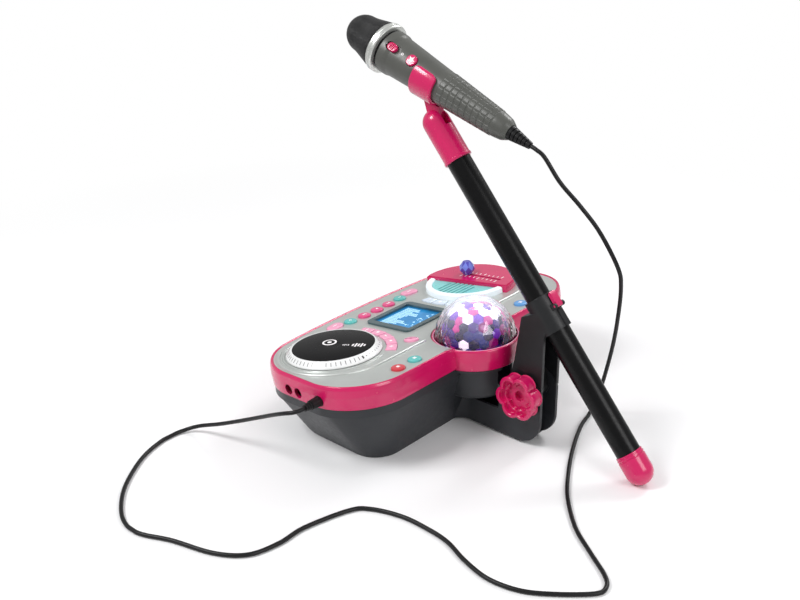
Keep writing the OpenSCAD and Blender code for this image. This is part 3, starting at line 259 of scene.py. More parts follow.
def clear_dome():
    """Clear moulded plastic, faintly pink, whiter towards the crown, where a painted glow grows."""
    g = finish("clear_dome", "ffffff", rough=0.05, mottle=0.0, edge=0, IOR=1.46, Transmission_Weight=1.0)
    # Share from 0 near the foot to 1 at the crown, which drives the whiter colour and the painted glow
    crown = g.range(g.local(DOME)[2], 0, 1, 10 * MM, 42 * MM)
    g.join(g.mix(crown, linear("fdeef8"), linear("f4fbff")), g.shader.inputs["Base Color"])
    # Emission that grows towards the crown: a painted glow, not a lamp
    glow(g, "eef2ff", 0.0)
    g.join(g.math("MULTIPLY", g.math("POWER", crown, 1.4), 0.2), g.shader.inputs["Emission Strength"])
    return g


def make_materials():
    key = dict(rough=0.2, Coat_Weight=0.5, Coat_Roughness=0.06, edge=0.25 * MM)
    gem = dict(rough=0.12, mottle=0.35, edge=0.3 * MM, Coat_Weight=0.6, Coat_Roughness=0.05)
    lit = dict(rough=0.16, mottle=0.02, edge=0)
    looks = {
        "charcoal": ("2b2d31", dict(rough=0.4, grain=0.12, mottle=0.08, Specular_IOR_Level=0.4)),
        "pink": ("cb0f5b", dict(rough=0.24, mottle=0.03, edge=0, Coat_Weight=0.35, Coat_Roughness=0.06)),
        # Darker pink for the walls of the socket recesses: painted shade
        "painted_recess_shade": ("8f0c3a", dict(rough=0.4)),
        "trim": ("d8dad6", dict(rough=0.3, mottle=0.03, edge=0, Metallic=0.75)),
        "strip": ("c9cdca", dict(rough=0.36, mottle=0.03, edge=0, Metallic=0.6)),
        "display_frame": ("3b5359", dict(rough=0.2, grain=0.03, Coat_Weight=0.5)),
        "board": ("1f6b3d", dict(rough=0.5)),
        "grille": ("7fd0cf", dict(rough=0.3, mottle=0.06, Coat_Weight=0.3)),
        "speaker": ("1c1c1e", dict(rough=0.7, grain=0.3)),
        "steel": ("b4b7ba", dict(rough=0.3, Metallic=1.0)),
        "white": ("eceded", dict(rough=0.26, mottle=0.02, Coat_Weight=0.4)),
        "face": ("060507", dict(rough=0.24, mottle=0.2, edge=0.2 * MM, Specular_IOR_Level=0.1)),
        # Dark red for the jack sockets: painted shade of the pink inside the recesses
        "socket": ("6d0f22", dict(rough=0.4, mottle=0.1)),
        "black": ("050506", dict(rough=0.3, mottle=0.2, grain=0.05, Specular_IOR_Level=0.22)),
        "dark_plate": ("18191b", dict(rough=0.4, mottle=0.15, grain=0.12, edge=1.2 * MM,
                                      Specular_IOR_Level=0.4)),
        "handle": ("51524e", dict(rough=0.36, grain=0.1, mottle=0.07)),
        "cable": ("08080a", dict(rough=0.4, mottle=0.2, grain=0.15, edge=0, Specular_IOR_Level=0.35)),
        "key_pink": ("dd4a84", key),
        "key_teal": ("58b8b4", key),
        "key_pale": ("f0a0c0", key),
        "key_white": ("d9e6f4", key),
        "key_red": ("cc3340", key),
        "key_blue": ("5b9ad6", key),
        "mark": ("f7f3f5", dict(rough=0.4, edge=0)),
        "dark_mark": ("3a3638", dict(rough=0.5, edge=0)),
        "pink_mark": ("b24a72", dict(rough=0.4, edge=0)),
        "screen": ("2a7fb8", dict(rough=0.16, mottle=0.25, edge=0)),
        "screen_mark": ("b4e4ff", lit),
        "ring_light": ("eef8ff", lit),
        "facet_0": ("3c1684", gem),
        "facet_1": ("12114c", gem),
        "facet_2": ("8c0f70", gem),
        "facet_3": ("1f3280", gem),
        "facet_4": ("6a22b0", gem),
        "facet_5": ("c8308e", gem),
        "facet_6": ("f4f6ff", gem),
        # Lit and shaded paints for alternate facets of the fader gem: painted light and shade, with a faint
        # painted glow
        "knob_gem_painted_light": ("6a76cc", gem),
        "knob_gem_painted_shade": ("4642a6", gem),
    }
    made = {name: finish(name, colour, **look) for name, (colour, look) in looks.items()}
    glows = dict(screen=0.25, screen_mark=0.45, ring_light=0.12, facet_0=0.2, facet_1=0.1, facet_2=0.3,
                 facet_3=0.12, facet_4=0.3, facet_5=0.3, facet_6=0.8, knob_gem_painted_light=0.06, knob_gem_painted_shade=0.03)
    for name, strength in glows.items():
        glow(made[name], looks[name][0], strength)
    made.update(silver=silver_panel(), mesh=wire_mesh(), dome=clear_dome())
    return {name: g.owner for name, g in made.items()}


# ---------------------------- meshes
def mesh_of(name, shape):
    points, faces = shape
    mesh = bpy.data.meshes.new(name)
    mesh.from_pydata([tuple(p) for p in points], [], [tuple(f) for f in faces])
    return mesh


def piece(name, shape, paints, body, at=None, replaces=None, smooth=40.0, picks=None):
    """An object made of (points, faces) that rides on a body.

    Paints is one name or several, and then picks says which of them each face takes.
    """
    mesh = mesh_of(name, shape)
    if at is not None:
        mesh.transform(at)
    for paint in [paints] if isinstance(paints, str) else paints:
        mesh.materials.append(MATERIALS[paint])
    if picks:
        for polygon, pick in zip(mesh.polygons, picks):
            polygon.material_index = pick
    made = in_scene(name, mesh)
    tidy_mesh(made, smooth)
    if body:
        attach(made, body)
    if replaces:
        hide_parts(replaces)
    return made


def tidy_mesh(made, smooth):
    """Joins double points, turns the faces outwards and smooths edges below an angle."""
    work = bmesh.new()
    work.from_mesh(made.data)
    bmesh.ops.remove_doubles(work, verts=work.verts, dist=1e-6)
    bmesh.ops.dissolve_degenerate(work, edges=work.edges, dist=1e-7)
    bmesh.ops.recalc_face_normals(work, faces=work.faces)
    for f in work.faces:
        f.smooth = smooth > 0
    for e in work.edges:
        e.smooth = len(e.link_faces) == 2 and e.calc_face_angle(0) < math.radians(smooth)
    work.to_mesh(made.data)
    work.free()


def cut(made, *cutters):
    """Cuts closed shapes out of an object."""
    for shape in cutters:
        tool = in_scene("cutter", mesh_of("cutter", shape))
        tidy_mesh(tool, 30)
        step = made.modifiers.new("cut", "BOOLEAN")
        step.object = tool
        step.solver = "EXACT"
        graph = bpy.context.evaluated_depsgraph_get()
        result = bpy.data.meshes.new_from_object(made.evaluated_get(graph))
        made.modifiers.clear()
        made.data = result
        bpy.data.objects.remove(tool)
    tidy_mesh(made, 35)


def numbered_from(start, faces):
    return [tuple(start + i for i in face) for face in faces]


def joined(parts):
    """One shape from several."""
    points, faces = [], []
    for p, f in parts:
        faces += numbered_from(len(points), f)
        points += p
    return points, faces


def moved(shape, matrix):
    points, faces = shape
    return [tuple(matrix @ Vector(p)) for p in points], faces


def shades(*groups):
    """The paint number of every face, from pairs of a number and a shape."""
    return [number for number, (_, faces) in groups for _ in faces]


def grid_faces(rows, columns, wrap=True):
    """Faces of a grid of points, row after row."""
    faces = []
    for i in range(rows - 1):
        for j in range(columns if wrap else columns - 1):
            k = (j + 1) % columns
            faces.append((i * columns + j, i * columns + k, (i + 1) * columns + k, (i + 1) * columns + j))
    return faces


def zigzag_faces(rows, count, start=0):
    """Triangles between rings of points that are each turned half a step from the last."""
    faces = []
    for k in range(rows - 1):
        a, b = start + k * count, start + (k + 1) * count
        for j in range(count):
            n = (j + 1) % count
            if k % 2 == 0:
                faces += [(a + j, a + n, b + j), (a + n, b + n, b + j)]
            else:
                faces += [(a + j, b + n, b + j), (a + j, a + n, b + n)]
    return faces


def polar(r, a, z):
    """A point in metres from a radius and a height in millimetres and an angle in radians."""
    return r * MM * math.cos(a), r * MM * math.sin(a), z * MM


def ring_of(r, z, count, ahead=0.0):
    """A level ring of points, turned ahead by a share of a step."""
    return [polar(r, TAU * (j + ahead) / count, z) for j in range(count)]


def zigzag_rings(levels, count):
    """Rings of (radius, height) that are each turned half a step from the last."""
    return [ring_of(r, z, count, 0.5 * (k % 2)) for k, (r, z) in enumerate(levels)]


def lathe(profile, steps=96):
    """Turns a line of (radius, height) about Z. Ends on the axis are closed."""
    least_r = 1e-4
    points = [p for r, z in profile for p in ring_of(max(r, least_r), z, steps)]
    faces = grid_faces(len(profile), steps)
    if profile[0][0] < 0.01:
        faces.append(tuple(range(steps)))
    if profile[-1][0] < 0.01:
        faces.append(tuple(range((len(profile) - 1) * steps, len(profile) * steps)))
    return points, faces


def stacked(rings):
    """Joins closed rings with the same number of points and caps both ends."""
    count = len(rings[0])
    faces = grid_faces(len(rings), count)
    faces.append(tuple(range(count)))
    faces.append(tuple(range((len(rings) - 1) * count, len(rings) * count)))
    return [p for ring in rings for p in ring], faces


def pad(drawing, low, high, edge, turns=4, reach=None):
    """A flat-topped solid on a closed drawing, whose upper edge is rounded edge high and reach wide."""
    reach = reach or edge
    rings = [[(x * MM, y * MM, low * MM) for x, y in drawing]]
    for k in range(turns + 1):
        angle = math.pi / 2 * k / turns
        inset = reach * (1 - math.cos(angle))
        z = high - edge + edge * math.sin(angle)
        rings.append([(x * MM, y * MM, z * MM) for x, y in drawn_in(drawing, inset)])
    return stacked(rings)


# ---------------------------- drawings
def drawn_in(drawing, inset):
    """A closed drawing of (x, y), moved inwards by inset along its corners' normals."""
    count = len(drawing)
    area = sum(drawing[i - 1][0] * drawing[i][1] - drawing[i][0] * drawing[i - 1][1] for i in range(count))
    side = 1 if area > 0 else -1
    out = []
    for i, (x, y) in enumerate(drawing):
        along = (Vector(drawing[(i + 1) % count]) - Vector(drawing[i - 1])).normalized()
        out.append((x - side * along.y * inset, y + side * along.x * inset))
    return out


def rounded(corners, turns=5):
    """A line through corners (x, y, radius), with each corner rounded."""
    line = []
    for i, corner in enumerate(corners):
        here = Vector(corner[:2])
        r = corner[2] if len(corner) > 2 else 0
        if r == 0 or i in (0, len(corners) - 1):
            line.append(tuple(here))
            continue
        a = (Vector(corners[i - 1][:2]) - here).normalized()
        b = (Vector(corners[i + 1][:2]) - here).normalized()
        half = a.angle(b) / 2
        centre = here + (a + b).normalized() * (r / math.sin(half))
        first = here + a * (r / math.tan(half)) - centre
        span = math.pi - 2 * half
        side = 1 if first.x * (b.y - a.y) - first.y * (b.x - a.x) > 0 else -1
        for k in range(turns + 1):
            angle = side * span * k / turns
            c, s = math.cos(angle), math.sin(angle)
            line.append((centre.x + first.x * c - first.y * s, centre.y + first.x * s + first.y * c))
    return line


def arc(x, y, r, first, last, steps):
    """Points on an arc about (x, y), from the first to the last angle in degrees."""
    angles = [math.radians(first + (last - first) * i / steps) for i in range(steps + 1)]
    return [(x + r * math.cos(a), y + r * math.sin(a)) for a in angles]


def disc(r, count=48, x=0.0, y=0.0):
    return arc(x, y, r, 0, 360, count)[:-1]


def rectangle(wide, tall, x=0.0, y=0.0):
    return [(x + s * wide / 2, y + t * tall / 2) for s, t in ((-1, -1), (1, -1), (1, 1), (-1, 1))]


def capsule(long, wide, steps=18):
    """A bar along X with round ends."""
    reach = (long - wide) / 2
    return arc(reach, 0, wide / 2, -90, 90, steps) + arc(-reach, 0, wide / 2, 90, 270, steps)


def turned(drawing, degrees):
    c, s = math.cos(math.radians(degrees)), math.sin(math.radians(degrees))
    return [(x * c - y * s, x * s + y * c) for x, y in drawing]


# ---------------------------- cable
CABLE_R = 2 * MM
ROUTE_MM = [
    (0, 150.8, 296.0),
    (0, 158, 293.4), (-1, 166, 288), (-5, 181, 267), (-10, 200, 248), (-18, 217, 225), (-28, 232, 192),
    (-38, 231, 169), (-52, 222, 130), (-68, 209, 88), (-78, 195, 40), (-82, 187, 16), (-79, 184, 5),
    (-69, 186, 2), (-45, 193, 2), (-1, 213, 2), (38, 235, 2), (66, 254, 2), (98, 284, 2), (119, 313, 2),
    (137, 339, 2), (149, 348, 2), (161, 346, 2), (183, 322, 2), (198, 298, 2), (203, 270, 2),
    (197, 241, 2), (187, 214, 2), (184, 190, 2), (185, 160, 2), (195, 131, 2), (210, 118, 2), (253, 107, 2),
    (283, 107, 2), (311, 99, 2), (329, 75, 2), (341, 35, 2), (354, 3, 2), (350, -23, 2), (331, -51, 2),
    (307, -73, 2), (274, -94, 2), (241, -104, 2), (220, -101, 3), (210, -89, 8), (206, -62, 19),
    (203, -34, 32), (203, -5, 47), (205, 18, 59.5), (206, 34, 67.5), (203, 44, 71), (197, 48, 72.2),
    (192, 48.0, 72.3)]
ROUTE = [Vector(p) * MM for p in ROUTE_MM]
# First and last route point of each stretch, and the two bodies that it runs between
STRETCHES = [("cable_lead", 0, 3, "mic", None), ("cable_top", 3, 5, "mic", "clip"),
             ("cable_upper", 5, 7, "clip", "mast"), ("cable_middle", 7, 9, "mast", "bracket"),
             ("cable_drop", 9, 13, "bracket", "console"), ("cable_floor", 13, 52, "console", None)]


def on_route(u):
    """A point on the smooth curve through the route, kept on the floor and inside the CAD box."""
    i = min(int(u), len(ROUTE) - 2)
    t = u - i
    a, b, c, d = (ROUTE[min(max(i + k, 0), len(ROUTE) - 1)] for k in (-1, 0, 1, 2))
    p = 0.5 * (2 * b + (c - a) * t + (2 * a - 5 * b + 4 * c - d) * t * t + (3 * b - a - 3 * c + d) * t ** 3)
    for k in range(3):
        p[k] = min(max(p[k], cad_box[0][k] + CABLE_R), cad_box[1][k] - CABLE_R)
    return p


def tube(line, radius, sides, start, end):
    """A closed tube along a line, whose end faces look along two given directions."""
    rings = []
    side = start.orthogonal()
    for k, p in enumerate(line):
        ahead = (line[min(k + 1, len(line) - 1)] - line[max(k - 1, 0)]).normalized()
        ahead = {0: start, len(line) - 1: end}.get(k, ahead)
        side = (side - side.dot(ahead) * ahead).normalized()
        other = ahead.cross(side)
        rings.append([p + radius * (math.cos(TAU * j / sides) * side + math.sin(TAU * j / sides) * other)
                      for j in range(sides)])
    return stacked(rings)


def make_cable():
    steps, sides, step = 10, 16, 0.02
    for name, first, last, body, other in STRETCHES:
        line = [on_route(first + k / steps) for k in range((last - first) * steps + 1)]
        start = (on_route(first + step) - on_route(max(first - step, 0))).normalized()
        end = (on_route(last - 1e-6) - on_route(last - step)).normalized()
        shape = tube(line, CABLE_R, sides, start, end)
        made = piece(name, shape, "cable", None if other else body, smooth=60)
        if other:
            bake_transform(made)
        if body == "console":
            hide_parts("mic_cable")


# ---------------------------- carried-over nodes
# The nodes that show, by body, each with its paint and slot
SKINS = {
    "console": [("lower_shell", "charcoal", "charcoal_plastic"), ("top_panel", "silver", "silver_panel"),
                ("trim_strips", "strip", "chrome_trim"), ("lcd_frame", "display_frame", "display_frame"),
                ("speaker_grille", "grille", "teal_grille"), ("light_ring", "ring_light", "light_guide"),
                ("fader_plate", "pink", "pink_gloss")],
    "bracket": [("stand_bracket", "dark_plate", "black_plastic")],
    "mast": [("pole", "black", "black_plastic")],
    "latch": [("height_latch", "pink", "pink_gloss")],
}
# The jack sockets take a dark red: painted shade inside their recesses
PLAIN = dict(battery_door="charcoal", lcd_module="screen", main_board="board", speaker="speaker",
             disco_motor="steel", case_screws="steel", motor_pinion="white", jack_sockets="socket",
             mic_relief="cable", mic_plug="cable")


def dress_nodes():
    """Smooth-shaded copies of the nodes that show, and plain materials for the rest."""
    for body, skins in SKINS.items():
        for name, paint, slot in skins:
            data = nodes[name].data
            shape = [v.co[:] for v in data.vertices], [f.vertices[:] for f in data.polygons]
            piece(name + "_skin", shape, paint, body, None, name, smooth=32)
    for name, paint in PLAIN.items():
        nodes[name].data.materials.clear()
        nodes[name].data.materials.append(MATERIALS[paint])


# ---------------------------- console
# Radius at the ends, place and radius of the rear corners, and bulge of the front edge
END_R, REAR_X, REAR_Y, REAR_R, BULGE = 64.5, 115.0, 43.0, 60.0, 5.0
FRONT_Y = (DISC ** 2 - BULGE ** 2) / (2 * BULGE)
FRONT_TURN = math.degrees(math.atan2(DISC, FRONT_Y))
SIDE_LEN = math.hypot(REAR_X - DISC, REAR_Y)
SIDE_TURN = math.degrees(math.atan2(REAR_Y, REAR_X - DISC) - math.acos((END_R - REAR_R) / SIDE_LEN))
# Place and radius of each socket recess in the band
RECESSES = ((0.5, 5.3), (15.3, 5.3), (46.4, 5.6))
RECESS_Z = -15


def outline(inset, reach):
    """The console's outline from the rear on one side, round the front, to the rear on the other."""
    front_r = FRONT_Y + END_R + BULGE
    half = [(0, FRONT_Y - front_r + inset)]
    half += arc(0, FRONT_Y, front_r - inset, -90, FRONT_TURN - 90, 14)[1:]
    half += arc(DISC, 0, END_R - inset, FRONT_TURN - 90, SIDE_TURN, 36)[1:]
    half += arc(REAR_X, REAR_Y, REAR_R - inset, SIDE_TURN, 90, 44)[1:]
    x, y = half[-1]
    half += [(x + (reach - x) * k / 24, y) for k in range(1, 25)]
    return [(-x, y) for x, y in half[:0:-1]] + half


def make_band():
    """Glossy band with a belly and a rounded rim, run round the console up to the collar of the dome."""
    section = rounded([(4.2, -0.2), (3.4, 0.1), (2.9, 0.8, 0.3), (1.6, 0.8, 1.2), (0.35, -2.5, 4.0),
                       (0.0, -10, 14), (0.9, -20, 9), (1.3, -22.6, 0.8), (2.2, -23, 0.3), (4.2, -23)], 6)
    open_end, rear_y, dip_x, dip_run, dip, dip_foot = 41.5, 90, 56, 14, 2.0, 8
    points = []
    for inset, z in section:
        for x, y in outline(inset, open_end):
            near = min(1.0, max(0.0, (dip_x - abs(x)) / dip_run)) if y > rear_y else 0.0
            fall = dip * near * near * (3 - 2 * near) * min(1.0, max(0.0, (z + dip_foot) / dip_foot))
            points.append((x * MM, y * MM, (z - fall) * MM))
    rows = len(section)
    count = len(points) // rows
    last = (rows - 1) * count
    faces = grid_faces(rows, count, wrap=False)
    faces += [(i, i + 1, last + i + 1, last + i) for i in range(count - 1)]
    faces += [tuple(i * count + end for i in range(rows)) for end in (0, count - 1)]
    band = piece("band", (points, faces), ["pink", "painted_recess_shade"], "console", PANEL, "side_band")
    cut(band, *[moved(lathe([(0, 20), (r, 20), (r, 90), (0, 90)], 40),
                      PANEL @ shift(DISC, y, RECESS_Z) @ spin(90, "Y")) for y, r in RECESSES])
    shade_recesses(band)


def shade_recesses(band):
    """The walls of the socket recesses take a darker pink: painted shade in the recesses."""
    first_x, last_x, reach, slope = 57, 64.3, 5.7, 0.12
    to_panel = PANEL.inverted()
    for polygon in band.data.polygons:
        spot = to_panel @ polygon.center / MM
        level = to_panel.to_3x3() @ polygon.normal
        at_end = first_x < spot.x - DISC < last_x and abs(level.x) < slope
        if at_end and min(abs(spot.y - y) for y, _ in RECESSES) < reach:
            polygon.material_index = 1


def make_collar():
    edge = [(38.5, -3), (41.7, -3), (41.8, 1.4), (42.4, 2.0, 0.5), (43.9, 1.9, 0.6), (44.5, 0.4, 1.0),
            (44.4, -10, 20), (43.4, -19.2, 1.0), (42.4, -20), (40.3, -20), (40.5, -5.5), (38.5, -5.5),
            (38.5, -3)]
    piece("collar", lathe(rounded(edge), 128), "pink", "console", DOME, "dome_collar")
    # A pale pink ring along the top of the collar's lip: a painted highlight
    painted_highlight_ring = [(41.75, 1.2), (41.9, 2.25, 0.3), (42.7, 2.35, 0.3), (43.0, 1.6), (41.75, 1.2)]
    piece("collar_painted_highlight", lathe(rounded(painted_highlight_ring), 128), "key_pale", "console", DOME)


def faceted_cap(radius, count, foot):
    """A dome of flat triangles over a plain foot ring, from the foot to the crown."""
    rings = zigzag_rings([(radius * math.cos(math.radians(level)), radius * math.sin(math.radians(level)))
                          for level in (4, 22, 42, 62, 78)], count)
    low = [(x, y, -foot * MM) for x, y, _ in rings[0]]
    points = low + [p for ring in rings for p in ring] + [(0, 0, radius * MM)]
    faces = grid_faces(2, count) + zigzag_faces(len(rings), count, count)
    top, tip = count * len(rings), len(points) - 1
    faces += [(top + j, top + (j + 1) % count, tip) for j in range(count)]
    return points, faces


def make_dome():
    """Clear dome: large facets outside, a faceted bowl inside, closed by a rim at the foot."""
    outer_r, inner_r, count, foot = 41.3, 38.9, 18, 3
    outer, inner = (faceted_cap(r, count, foot) for r in (outer_r, inner_r))
    points, faces = joined([outer, (inner[0], [f[::-1] for f in inner[1]])])
    start = len(outer[0])
    faces += [(j, (j + 1) % count, start + (j + 1) % count, start + j) for j in range(count)]
    piece("dome_shell", (points, faces), "dome", "console", DOME, "dome_lens", smooth=0)


def angle_about(axis, point):
    side = axis.orthogonal().normalized()
    return math.atan2(point.dot(axis.normalized().cross(side)), point.dot(side))


def hex_ball(radius, gap, rise):
    """A ball of six-sided lenses, in metres: its points, and the faces of each lens.

    It is the dual of a divided icosphere, with each of its faces drawn in, raised and cut flat.
    """
    flat = 0.52
    base = bmesh.new()
    bmesh.ops.create_icosphere(base, subdivisions=3, radius=1.0)
    points, lenses = [], []
    for v in base.verts:
        around = sorted(v.link_faces, key=lambda f: angle_about(v.co, f.calc_center_median()))
        corners = [f.calc_center_median().normalized() for f in around]
        centre = v.co.normalized()
        count, start = len(corners), len(points)
        for reach, out in ((1.0, 0.0), (1 - gap, 0.0), (1 - gap * 1.6, rise), (flat, rise * 1.9)):
            for corner in corners:
                p = centre + (corner - centre) * reach
                points.append((p.normalized() if reach > flat else p) * (radius + out))
        lenses.append(numbered_from(start, grid_faces(4, count) + [tuple(range(3 * count, 4 * count))]))
    base.free()
    return points, lenses


def gear_wheel(teeth, pitch_r, module, low, high):
    """A gear between two heights, with straight-sided teeth."""
    root, tip = pitch_r - 1.15 * module, pitch_r + 0.75 * module
    drawing = []
    for i in range(teeth):
        for r, share in ((root, -0.3), (tip, -0.1), (tip, 0.1), (root, 0.3)):
            a = TAU * (i + share) / teeth
            drawing.append((r * math.cos(a), r * math.sin(a)))
    return pad(drawing, low, high, 0.1, 1)


def make_ball():
    """Mirror ball of raised lenses in mixed colours, paler at its crown as painted light, with a plain neck
    down to its gear.
    """
    centre_z, lit_share, lit_below, crown_above = 3, 0.05, 12 * MM, 21 * MM
    draw = random.Random(11)
    points, lenses = hex_ball(32.2 * MM, 0.10, 0.5 * MM)
    faces, picks = [], []
    for lens in lenses:
        pick = draw.choice((0, 1, 1, 1, 2, 2, 3, 4, 5))
        centre = sum((points[i] for i in lens[-1]), Vector()) / len(lens[-1])
        if draw.random() < lit_share and centre.z < lit_below:
            pick = 6
        # Lenses above the crown take the paler paints: painted light on the top of the ball
        if centre.z > crown_above:
            pick = (5, 6, 4)[pick % 3]
        faces += lens
        picks += [pick] * len(lens)
    axle = lathe([(0, -27), (4, -27), (4, -38.1), (2, -38.1), (2, -48.8), (0, -48.8)], 24)
    gear = gear_wheel(30, 15.0, 1.0, -42, -38.2)
    shape = joined([moved((points, faces), shift(0, 0, centre_z)), axle, gear])
    piece("light_ball", shape, [f"facet_{i}" for i in range(7)], "ball", DOME, "disco_ball",
          smooth=0, picks=picks + shades((1, axle), (1, gear)))


def make_platter():
    """White bevelled ring round a black face, with graduation marks that turn with it."""
    at = PANEL @ shift(DISC, 0)
    ring = [(4.05, 0.4), (7, 0.4), (7, 4), (38.3, 4), (45, 1.4), (45, 0.4), (47.5, 0.4), (48, 1.0, 0.3),
            (47.6, 2.2, 1.0), (42.7, 7.0, 1.0), (41.9, 7.3, 0.3), (41.35, 7.1), (41.3, 6.0), (4.05, 6.0),
            (4.05, 0.4)]
    piece("platter_ring", lathe(rounded(ring), 128), "white", "scratch_disc", at, "platter")
    face = [(0, 6.05), (41.2, 6.05), (41.2, 6.9, 0.2), (40.6, 7.05), (7.2, 7.05, 0.2), (6.4, 6.75, 0.2),
            (0, 6.75)]
    piece("platter_face", lathe(rounded(face), 128), "face", "scratch_disc", at, "platter_pad")
    slope = math.degrees(math.atan2(7.0 - 2.2, 47.6 - 42.7))
    count, bold, dotted = 60, 14, range(15, 31)
    marks = []
    for i in range(count):
        size = (3.0, 1.8) if i == bold else (1.1, 1.1) if i in dotted else (4.0, 0.56)
        on_bevel = spin(360 * i / count) @ shift(45.2, 0, 4.55) @ spin(slope, "Y")
        marks.append(moved(pad(rectangle(*size), -0.3, 0.12, 0.06, 2), on_bevel))
    piece("platter_marks", joined(marks), "dark_mark", "scratch_disc", at, smooth=30)
    label = (-2.8, -8.4)
    bright = [pad(disc(7.3, 48, *label), 6.9, 7.14, 0.05, 2)]
    for first, pitch, wide, heights in ((9.5, 1.9, 1.0, (2.2, 3.4, 2.0, 3.0)),
                                        (19.5, 3.0, 1.8, (5.0, 8.4, 6.2, 9.0, 4.4))):
        for k, tall in enumerate(heights):
            bar = rectangle(wide, tall, first + pitch * k + wide / 2)
            bright.append(pad(turned(bar, 116), 7.0, 7.14, 0.05, 2))
    dark = pad(disc(5.4, 40, *label), 7.0, 7.19, 0.03, 1)
    dot = pad(disc(2.2, 30, *label), 7.0, 7.24, 0.03, 1)
    piece("platter_print", joined(bright + [dark, dot]), ["mark", "face"], "scratch_disc", at,
          smooth=30, picks=shades(*[(0, shape) for shape in bright], (1, dark), (0, dot)))


# ---------------------------- keys
ARC_KEYS_R = 57


def key_drawing(kind):
    if kind == "round":
        return disc(6.85, 40)
    if kind == "wide":
        return capsule(20.9, 12.3, 15)
    if kind == "leaf":
        r = (15 ** 2 + 10.5 ** 2) / (4 * 10.5)
        half = math.degrees(math.asin(7.5 / r)) * 0.97
        upper = arc(0, 5.2 - r, r, 90 - half, 90 + half, 16)
        return upper + [(-x, -y) for x, y in upper]
    half = 6.85
    return arc(-ARC_KEYS_R, 0, 51.7, half, -half, 10) + arc(-ARC_KEYS_R, 0, 62.5, -half, half, 10)


def key_marks(kind):
    """A generic mark for a key, as drawings."""
    upright, level = (1.0, 3.4), (3.6, 0.9)
    play = [(-1.3, -1.7), (1.8, 0), (-1.3, 1.7)]
    ahead = [(x - 0.6, y) for x, y in play]
    return {"play": [play],
            "pause": [rectangle(*upright, x) for x in (-1, 1)],
            "stop": [rectangle(*upright, x) for x in (-1.1, 0, 1.1)],
            "next": [ahead, rectangle(*upright, 1.9)],
            "back": [[(-x, y) for x, y in reversed(ahead)], rectangle(*upright, -1.9)],
            "plus": [rectangle(*level), rectangle(*upright)],
            "minus": [rectangle(*level)],
            "dot": [disc(1.5, 20)],
            "note": [disc(1.1, 16, -0.5, -1.2), rectangle(0.5, 3.4, 0.55, 0.5)],
            "rows": [rectangle(*level, 0, y) for y in (-1.2, 0, 1.2)],
            "rings": [disc(0.8, 14, x) for x in (-1.9, 0, 1.9)]}[kind]


def key_places():
    """Name, kind, place, turn, paint and mark of every key."""
    row = [(0, -41.5, "key_pink", "play"), (-19, -42, "key_pink", "next"), (19, -42, "key_pink", "back"),
           (-38.6, -43.5, "key_teal", "minus"), (38.6, -43.5, "key_teal", "plus")]
    keys = [(f"row_key_{i + 1}", "round", x, y, 0, paint, mark) for i, (x, y, paint, mark) in enumerate(row)]
    pitch = 15.5
    for i, mark in enumerate(("rings", "rows", "note", "dot", "pause")):
        lead = (0.6 - i) * pitch
        for side, name, paint, turn in ((1, "near", "key_pale", 180 + lead), (-1, "far", "key_white", -lead)):
            a = math.radians(turn)
            x, y = side * DISC + ARC_KEYS_R * math.cos(a), ARC_KEYS_R * math.sin(a)
            keys.append((f"{name}_arc_key_{i + 1}", "arc", x, y, turn, paint, mark))
    for side, name, inner_paint in ((1, "near", "key_teal"), (-1, "far", "key_blue")):
        keys.append((f"{name}_wide_key", "wide", side * 58, -47, side * 8, "key_pale", "rings"))
        keys.append((f"{name}_leaf_key", "leaf", side * 47.3, 50.4, side * 132, "key_pale", "dot"))
        keys.append((f"{name}_outer_key", "round", side * 107, 87.2, 0, "key_red", "stop"))
        keys.append((f"{name}_inner_key", "round", side * 83.8, 87.2, 0, inner_paint, "rows"))
    return keys


def make_keys():
    """Every key as a glossy pillow with a raised mark, on its own body."""
    foot, edge = -2.7, 0.9
    for name, kind, x, y, turn, paint, mark in key_places():
        top, reach = (1.4, 1.2) if kind == "arc" else (2.3, 2.3)
        cap = pad(key_drawing(kind), foot, top, edge, 6, reach)
        prints = joined([pad(turned(m, -turn), top - 0.3, top + 0.07, 0.04, 2) for m in key_marks(mark)])
        ink = "pink_mark" if kind == "leaf" else "mark"
        made = piece(name + "_cap", joined([cap, prints]), [paint, ink], name + "_body",
                     PANEL @ shift(x, y) @ spin(turn), name, picks=shades((0, cap), (1, prints)))
        made.data.validate()


def make_screen():
    """Glowing screen marks: a generic row of level bars and dots."""
    draw = random.Random(4)
    drawings = []
    for k in range(13):
        x = -23.6 + 3.6 * k
        for row in range(draw.randint(6, 14)):
            drawings.append(rectangle(2.9, 1.3, x + 1.45, -20.35 + 2.0 * row))
    for k in range(22):
        drawings.append(disc(draw.choice((0.6, 0.9, 1.3)), 12, draw.uniform(-23, 23), draw.uniform(10, 21)))
    marks = joined([pad(drawing, -1.1, -0.94, 0.02, 1) for drawing in drawings])
    piece("screen_marks", marks, "screen_mark", "console", PANEL @ shift(0, 3.8),
          smooth=30)


